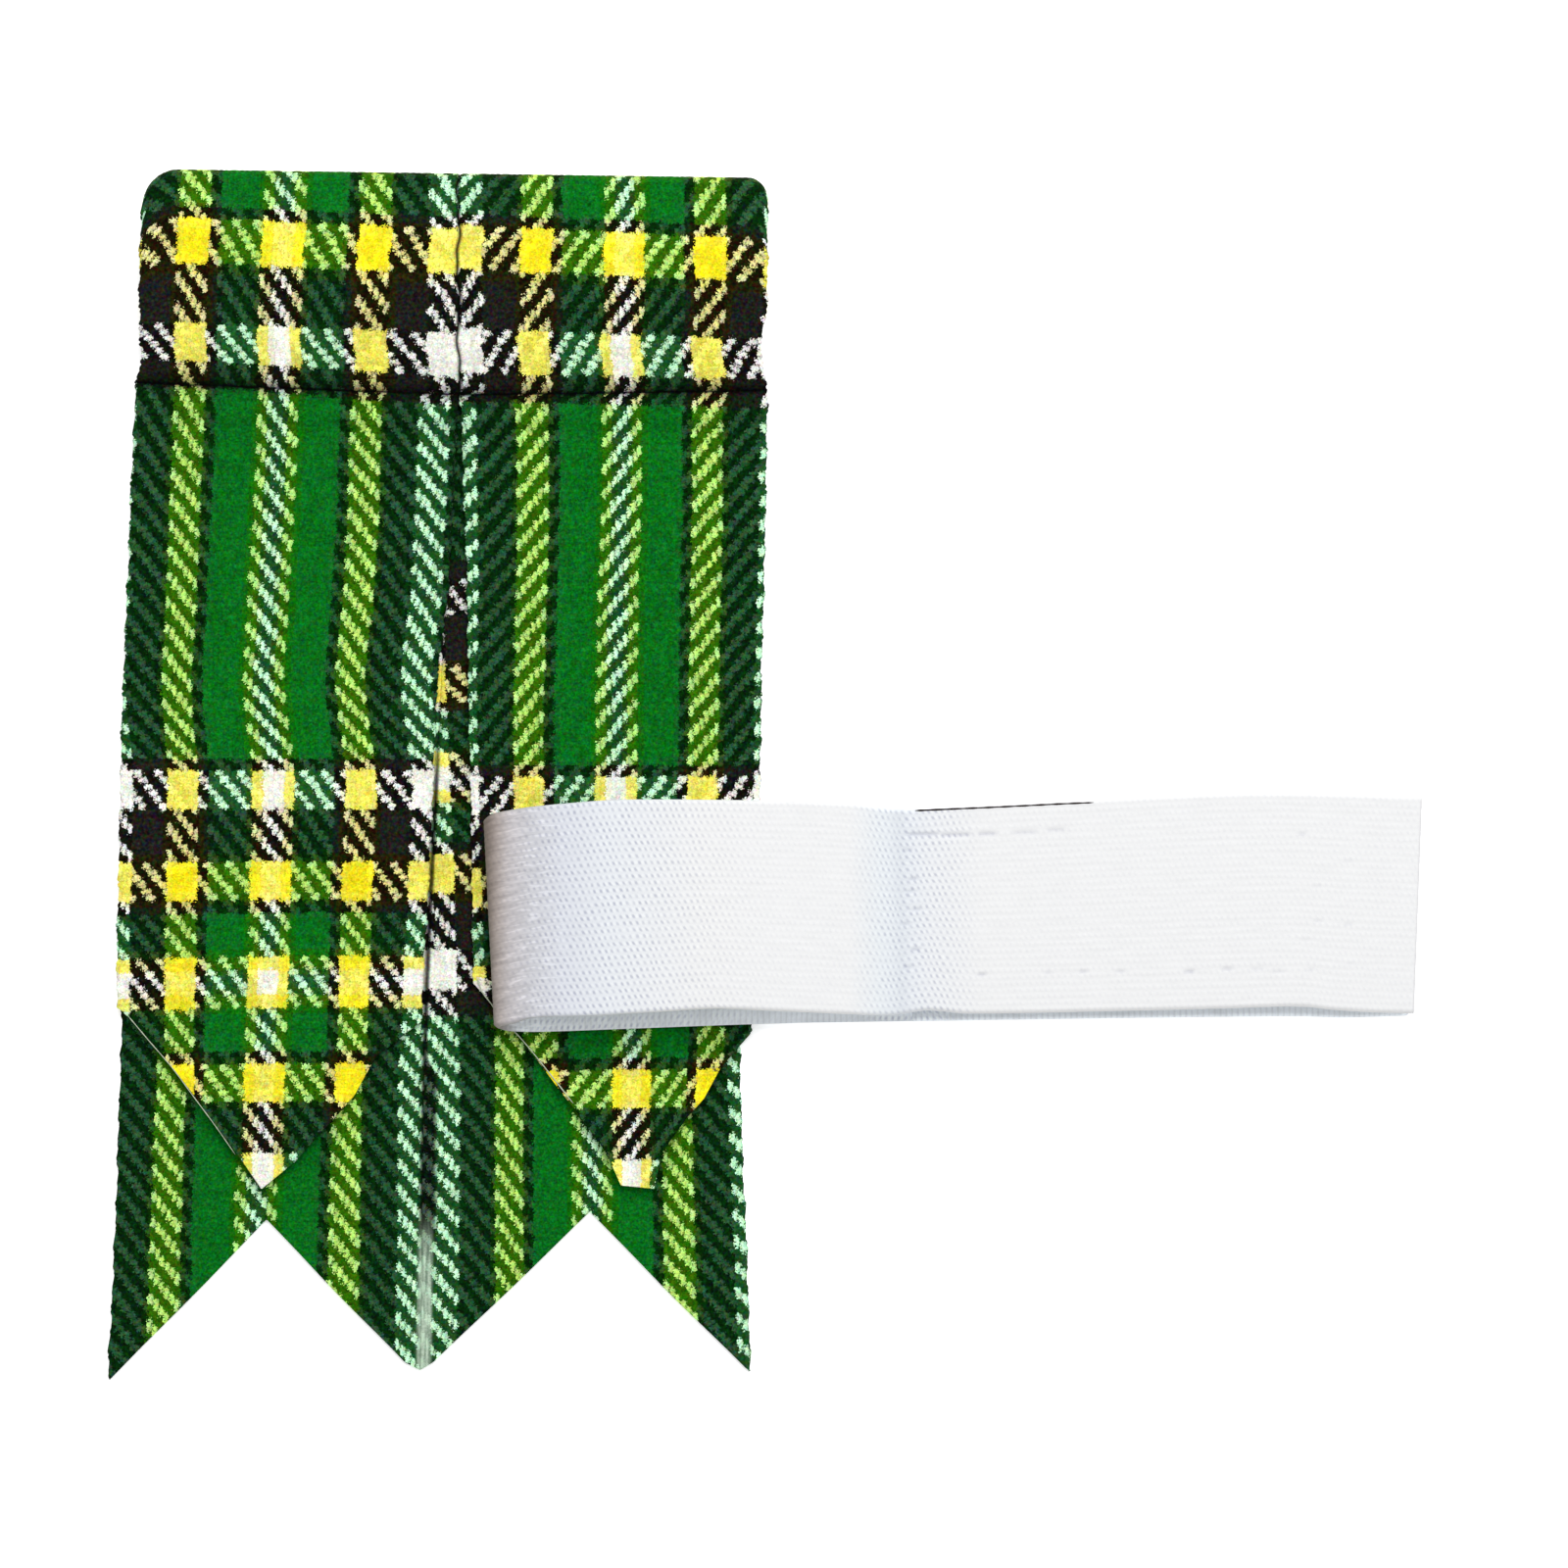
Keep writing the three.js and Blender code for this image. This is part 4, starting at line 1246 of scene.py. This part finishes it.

# %% [markdown]
# The elastic is white yarn bound over rubber threads. Its material draws the rows of hollows from
# the map as painted shade, with painted highlights on the crests between them. They are hardly
# seen where the strip lies flat, and open where it bends, so the mesh brings two numbers along:
# how far a point is from the fold, which also sets the painted shade and warm painted reflection
# near the fold, and how deep a stitch pulls it, which sets the painted shade in its dent. A third
# one marks the lower layers, which are painted lighter and bluer to lift the shade they lie in.

# %% The elastic's recipe
ELASTIC_LOOK = {
    "Roughness": 0.7,
    "Specular IOR Level": 0.2,
    "Sheen Weight": 0.08,
    "Sheen Roughness": 0.5,
}
YARN_WHITE, HOLLOW_SHADE_LILAC = (0.79, 0.793, 0.783, 1), (0.25, 0.26, 0.37, 1)
LOWER_LAYER_PAINTED_LIGHT = (1.24, 1.31, 1.37, 1)
# Painted shade along the strip, warm at the fold for the tartan's painted reflection and bluish at
# the pinch where the closure begins: mm from the fold, and the light it keeps in red, green and
# blue.
BAND_PAINTED_SHADE = [
    (0, 0.30, 0.24, 0.21), (1.5, 0.50, 0.43, 0.40), (3.5, 0.65, 0.61, 0.62), (7, 0.72, 0.72, 0.76),
    (12, 0.84, 0.865, 0.93), (19, 0.93, 0.96, 1.0), (34, 1, 1, 1), (57, 1, 1, 1),
    (62, 0.93, 0.97, 1.0), (65.5, 0.90, 0.94, 0.99), (70, 0.96, 0.975, 1.0), (78, 1, 1, 1),
]


def hollow_nodes(r, place, along, across):
    """
    Painted shade in the hollows and painted highlights on the crests between them: the cosine of
    the way along, set off by half a turn from row to row, slanting within a row, unsteady with
    noise, and faded towards the row's sides.
    """
    in_row = r.math("SUBTRACT", r.math("FRACT", across), 0.5)
    row_turn = r.math("MULTIPLY", r.math("FLOOR", across), math.pi)
    turn = r.math("MULTIPLY_ADD", along, 2 * math.pi / DOT_PITCH, row_turn)
    turn = r.math("MULTIPLY_ADD", r.noise(place, 330.0, 1.0).outputs["Fac"], 5.0, turn)
    beat = r.math("COSINE", r.math("MULTIPLY_ADD", in_row, 2.5, turn))
    row_shade = r.step(r.math("ABSOLUTE", in_row), 0.05, 0.47, 1.0, 0.0)
    patchy = r.step(r.noise(place, 420.0, 1.0).outputs["Fac"], 0.3, 0.65, 0.55, 1.15)
    hollows, crests = (
        r.math("MULTIPLY", r.math("MULTIPLY", r.step(beat, low, high), row_shade), patchy)
        for low, high in ((-0.1, 0.9), (-0.2, -0.9))
    )
    return hollows, crests, patchy


def fold_shade_and_streaks(r, counts, from_fold):
    """The bent elastic's painted shade for the mm from the fold, and streaks of pulled yarn."""
    fold_shade = r.node("ShaderNodeValToRGB", None, {"Fac": r.math("DIVIDE", from_fold, 150.0)})
    ramp = fold_shade.color_ramp.elements
    for k, (mm, *kept) in enumerate(BAND_PAINTED_SHADE):
        element = ramp[k] if k < 2 else ramp.new(mm / 150)
        element.position = mm / 150
        element.color = (*kept, 1)
    streak = r.math("SUBTRACT", r.streaks(counts, 0.22, 1.3), 0.5)
    near_fold = r.math("MULTIPLY", streak, r.step(from_fold, 0.0, 14.0, 1.0, 0.1))
    streaked = r.math("MULTIPLY_ADD", near_fold, 0.9, 1.0)
    pulled = r.step(r.streaks(counts, 0.45, 2.1, 1.0), 0.52, 0.68)
    pulled = r.math("MULTIPLY", pulled, r.step(from_fold, 6.0, 15.0, 0.22, 0.0))
    pulled = r.math("MULTIPLY", pulled, r.step(from_fold, 0.5, 2.5))
    return fold_shade.outputs["Color"], r.math("ADD", streaked, pulled)


def white_elastic():
    """White elastic. Its map counts mm along the strip and rows of hollows across it."""
    r = Recipe("white_elastic", ELASTIC_LOOK)
    place, counts = r.place(), r.threads()
    split = r.node("ShaderNodeSeparateXYZ", None, {0: counts})
    along, across = split.outputs[0], split.outputs[1]
    dent, from_fold, lower = (r.attribute(name) for name in ("dent", "from_fold", "lower"))
    hollows, crests, patchy = hollow_nodes(r, place, along, across)
    # The hollows' painted shade shows where the strip bends: beside the fold, and where the closure
    # begins.
    beside_fold = r.step(from_fold, 20.0, 48.0, 1.0, 0.14)
    at_fold = r.math("MULTIPLY", beside_fold, r.step(from_fold, 3.0, 11.0, 0.3, 1.0))
    from_closure = r.math("ABSOLUTE", r.math("SUBTRACT", from_fold, 67.5))
    strength = r.math("MAXIMUM", at_fold, r.step(from_closure, 3.0, 13.0, 0.85, 0.0))
    noise = r.noise(place, 2500.0, 2.0).outputs["Fac"]
    # Painted shade in the hollows and the stitches' dents, painted highlights on the crests, and a
    # little random tone from the noise.
    pattern = r.math("MULTIPLY", r.math("MULTIPLY_ADD", crests, -0.28, hollows), strength)
    dark = r.math("MULTIPLY_ADD", pattern, 0.40, r.math("MULTIPLY", dent, 0.30))
    dark = r.math("MULTIPLY_ADD", r.math("SUBTRACT", noise, 0.5), 0.10, dark)
    dark = r.math("ADD", r.math("MAXIMUM", dark, -0.13), 0.13)
    fold_shade, streaked = fold_shade_and_streaks(r, counts, from_fold)
    colour = r.darkened(r.mix(dark, YARN_WHITE, HOLLOW_SHADE_LILAC), streaked)
    # The upper layers take the painted shade along the strip: warm at the fold, bluish at the
    # pinch.
    upper_colour = r.mix(1.0, colour, fold_shade, "MULTIPLY")
    teeth = r.step(r.math("COSINE", r.math("MULTIPLY", along, 6.9)), 0.0, 0.9, 1.0, 0.9)
    teeth = r.math("MULTIPLY", teeth, r.step(patchy, 0.6, 1.0, 0.94, 1.0))
    # Painted light on the lower layers: lighter and bluer, to lift the real shade under the upper
    # layer.
    lower_colour = r.darkened(r.mix(1.0, colour, LOWER_LAYER_PAINTED_LIGHT, "MULTIPLY"), teeth)
    r.paint(r.mix(lower, upper_colour, lower_colour))
    sunk = r.math("MULTIPLY", hollows, strength)
    r.relief(r.math("SUBTRACT", r.math("MULTIPLY", noise, 0.4), sunk), 0.25, 0.00015)
    return r.material


elastic_white = white_elastic()
print("elastic nodes:", len(elastic_white.node_tree.nodes))

# %% [markdown]
# The strip is one closed sheet, like the cloths. The side that is seen from above has four points
# to a row of hollows and a step of half a millimetre, so the rows and the stitches' dents are
# real shape. The hidden runs are coarser.

# %% The band itself
FINE_STEP = 0.5
POINTS_PER_ROW = 4


def elastic_band():
    """Fine rows on the side that is seen from above, plain ones on the hidden runs."""
    end = float(line_run[-1])
    seen = LEFTMOST + 6

    def grid(rows, columns, outward):
        run, share = np.meshgrid(rows, columns, indexing="ij")
        points, dents = band_points(run, share, outward, ease(seen - run, 0, 3))
        numbers = np.arange(run.size).reshape(run.shape)
        return points, numbers, run, columns, np.stack([run, share * ROWS, dents], -1)

    rows = np.concatenate([np.arange(0, seen, FINE_STEP), np.arange(seen, end, 1.5), [end]])
    plain_rows = np.concatenate([np.arange(0, 78, 3.0), np.arange(78, end, 0.8), [end]])
    outer = grid(rows, np.linspace(0, 1, ROWS * POINTS_PER_ROW + 1), 1)
    inner = grid(plain_rows, np.linspace(0, 1, 13), -1)
    points, sets, values = both_faces(outer, inner)
    numbers = {
        "dent": values[:, 2],
        "from_fold": np.clip(points[:, 0] - BAND_IN, 0, 150),
        "lower": ease(values[:, 0], LEFTMOST + 1, LEFTMOST + 6),
    }
    return mesh_piece("elastic_strip", points, sets, values[:, :2], elastic_white, numbers)


band = elastic_band()
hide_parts("elastic_band")
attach(band, "root")

# %% [markdown]
# ## Loose threads
# A pale end of wool lies along the cut edge of each front, and a dark thread along the band's edge
# is painted shadow of the gap under that edge. A curve object with a bevel would do, but a tube
# worked out here can also swell, thin and taper like real yarn. Its path is a few places in the
# picture, on a smooth curve.

# %% A thin thread
def tube_faces(rings, sides):
    """Walls between the rings of a tube, and its two ends."""
    first = np.arange(rings - 1)[:, None] * sides + np.arange(sides)[None, :]
    beside = np.arange(rings - 1)[:, None] * sides + (np.arange(sides)[None, :] + 1) % sides
    walls = np.stack([first, beside, beside + sides, first + sides], -1).reshape(-1, 4)
    ends = np.stack([np.arange(sides)[::-1], (rings - 1) * sides + np.arange(sides)])
    return [walls[:, ::-1], ends[:, ::-1]]


def thin_thread(name, path, radius, colour, sides=6):
    """
    A tube round a path in mm: middle + r (cos t beside + sin t above), a ring of points at right
    angles to the path at every step, with r a little wavy and small at both ends.
    """
    path = np.array(path, float)
    steps = np.concatenate([[0], np.cumsum(np.hypot(*np.diff(path[:, :2], axis=0).T))])
    at = np.linspace(0, steps[-1], max(8, int(steps[-1] / 0.8)))
    middle = np.stack([smooth(steps, path[:, k], at) for k in range(3)], 1)
    ahead = np.gradient(middle, axis=0)
    ahead = ahead / np.linalg.norm(ahead, axis=1)[:, None]
    beside = np.cross(ahead, [0.0, 0.0, 1.0])
    beside = beside / np.linalg.norm(beside, axis=1)[:, None]
    above = np.cross(beside, ahead)
    angle = (np.arange(sides) * 2 * np.pi / sides)[None, :, None]
    ends = np.clip(np.minimum(at, steps[-1] - at) / 0.6, 0.25, 1)
    thick = radius * (1 + 0.25 * np.sin(at * 2.3)) * ends
    ring = np.cos(angle) * beside[:, None] + np.sin(angle) * above[:, None]
    points = (middle[:, None] + ring * thick[:, None, None]).reshape(-1, 3)
    r = Recipe(name, WOOL)
    speck = r.noise(r.place(), 2200.0, 1.0).outputs["Fac"]
    r.paint(r.mix(speck, (*colour, 1), (*(0.6 * v for v in colour), 1)))
    return mesh_piece(name, points, tube_faces(len(at), sides), None, r.material)


def from_picture(px, py, z):
    """The flashes' own mm of a place in the 1600 pixel picture, at the height z in mm."""
    one_pixel = PICTURE_WIDTH / 1.6 * (CAMERA_HEIGHT - z / 1000) / (CAMERA_HEIGHT - 0.002)
    row_x = CAMERA_X * 1000 + (px - 800) * one_pixel
    row_y = CAMERA_Y * 1000 + (800 - py) * one_pixel
    return row_x - origin[0], row_y - origin[1], z


print("picture's middle, mm from the seam:", np.round(from_picture(800, 800, 0.0), 1))

# %% [markdown]
# Each thread's places are at the height of what it lies on: the two fronts' edges, and the band's
# upper edge. The threads ride with the garter and take the tartan's finish.

# %% The two loose threads and the band edge's painted shadow thread
PALE_WOOL, EDGE_SHADOW_DARK = (0.60, 0.67, 0.50), (0.035, 0.025, 0.025)
ON_CLOTH, ON_BAND = 2.75, 7.1
LEFT_END = [(131, 1037), (152, 1062), (176, 1090), (199, 1121), (222, 1152), (240, 1178)]
RIGHT_END = [
    (486, 996), (492, 1012), (501, 1024), (512, 1040), (531, 1059), (559, 1093), (585, 1126),
]
BAND_END = [(934, 827), (960, 826), (1000, 824.4), (1050, 822), (1080, 820.5), (1116, 819)]
LOOSE_ENDS = {
    "left_loose_end": (LEFT_END, ON_CLOTH, 0.07, PALE_WOOL),
    "right_loose_end": (RIGHT_END, ON_CLOTH, 0.09, PALE_WOOL),
    # Painted shadow: a dark thread along the band's edge for the shade of the gap under it.
    "band_edge_shadow_thread": (BAND_END, ON_BAND, 0.14, EDGE_SHADOW_DARK),
}
for name, (places, height, radius, colour) in LOOSE_ENDS.items():
    piece = thin_thread(name, [from_picture(*p, height) for p in places], radius, colour)
    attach(piece, "root")

# %% [markdown]
# ## The two tapes
# The closure's tapes are pads hidden between the layers: brushed loops on the lower one, and rows
# of small hooks on the other, facing down. Real hooks would take many thousand faces that nobody
# sees, so each working face is a field of small bumps, and the nylon's own bump does the rest.

# %% The tapes' nylon
NYLON = {"Roughness": 0.5, "Specular IOR Level": 0.4, "Sheen Weight": 0.1}


def nylon(name, pitch, scatter):
    """White nylon with fine bumps "pitch" mm apart: scattered for loops, in rows for hooks."""
    r = Recipe(name, NYLON)
    cells = {"Vector": r.threads(), "Scale": 1 / pitch, "Randomness": scatter}
    spots = r.node("ShaderNodeTexVoronoi", None, cells).outputs["Distance"]
    # Painted shade: the grey is darker where the relief is low, in the middle of each spot.
    r.paint(r.grey(r.step(spots, 0.0, 0.8, 0.62, 0.8)))
    r.relief(spots, 0.6, 0.0002)
    return r.material


loop_nylon = nylon("loop_nylon", 0.5, 1.0)
hook_nylon = nylon("hook_nylon", 1.6, 0.1)
print("nylon nodes:", len(loop_nylon.node_tree.nodes))

# %% [markdown]
# Both pads take their place from their solids' boxes and are turned with the band by one degree.
# Rows run from right to left and columns from north to south, as the band's do.

# %% The tapes themselves
TAPE_LENGTH, TAPE_WIDTH = 68.0, 22.5
BUMP_HEIGHT = 0.25


def tape(node, pitch, face_up, material):
    """
    A pad in its solid's place. Its working face is a field of small bumps, half of one plus the
    product of two cosines with the pitch in mm, fading towards the sides, and its back is flat.
    """
    low, high = (np.array(corner) * 1000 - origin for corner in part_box(node))
    middle = (low + high) / 2

    def grid(top):
        along = np.linspace(TAPE_LENGTH / 2, -TAPE_LENGTH / 2, 171)
        across = np.linspace(TAPE_WIDTH / 2, -TAPE_WIDTH / 2, 57)
        x, y = np.meshgrid(along, across, indexing="ij")
        from_side = np.minimum(TAPE_LENGTH / 2 - np.abs(x), TAPE_WIDTH / 2 - np.abs(y))
        waves_two_ways = np.cos(2 * np.pi * x / pitch) * np.cos(2 * np.pi * y / pitch)
        bumps = BUMP_HEIGHT * (0.5 + 0.5 * waves_two_ways) * np.clip(from_side / 0.4, 0, 1)
        if top:
            z = high[2] - BUMP_HEIGHT + bumps * face_up
        else:
            z = low[2] + BUMP_HEIGHT - bumps * (1 - face_up)
        cos, sin = math.cos(BAND_TILT), math.sin(BAND_TILT)
        points = np.stack([middle[0] + x * cos - y * sin, middle[1] + x * sin + y * cos, z], -1)
        return points, np.arange(x.size).reshape(x.shape), x, across, np.stack([x, y], -1)

    points, sets, counts = both_faces(grid(True), grid(False))
    piece = mesh_piece(f"{node}_pad", points, sets, counts, material)
    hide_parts(node)
    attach(piece, "root")
    return piece


loop_tape = tape("loop_patch", 1.2, 1, loop_nylon)
hook_tape = tape("hook_patch", 1.6, 0, hook_nylon)
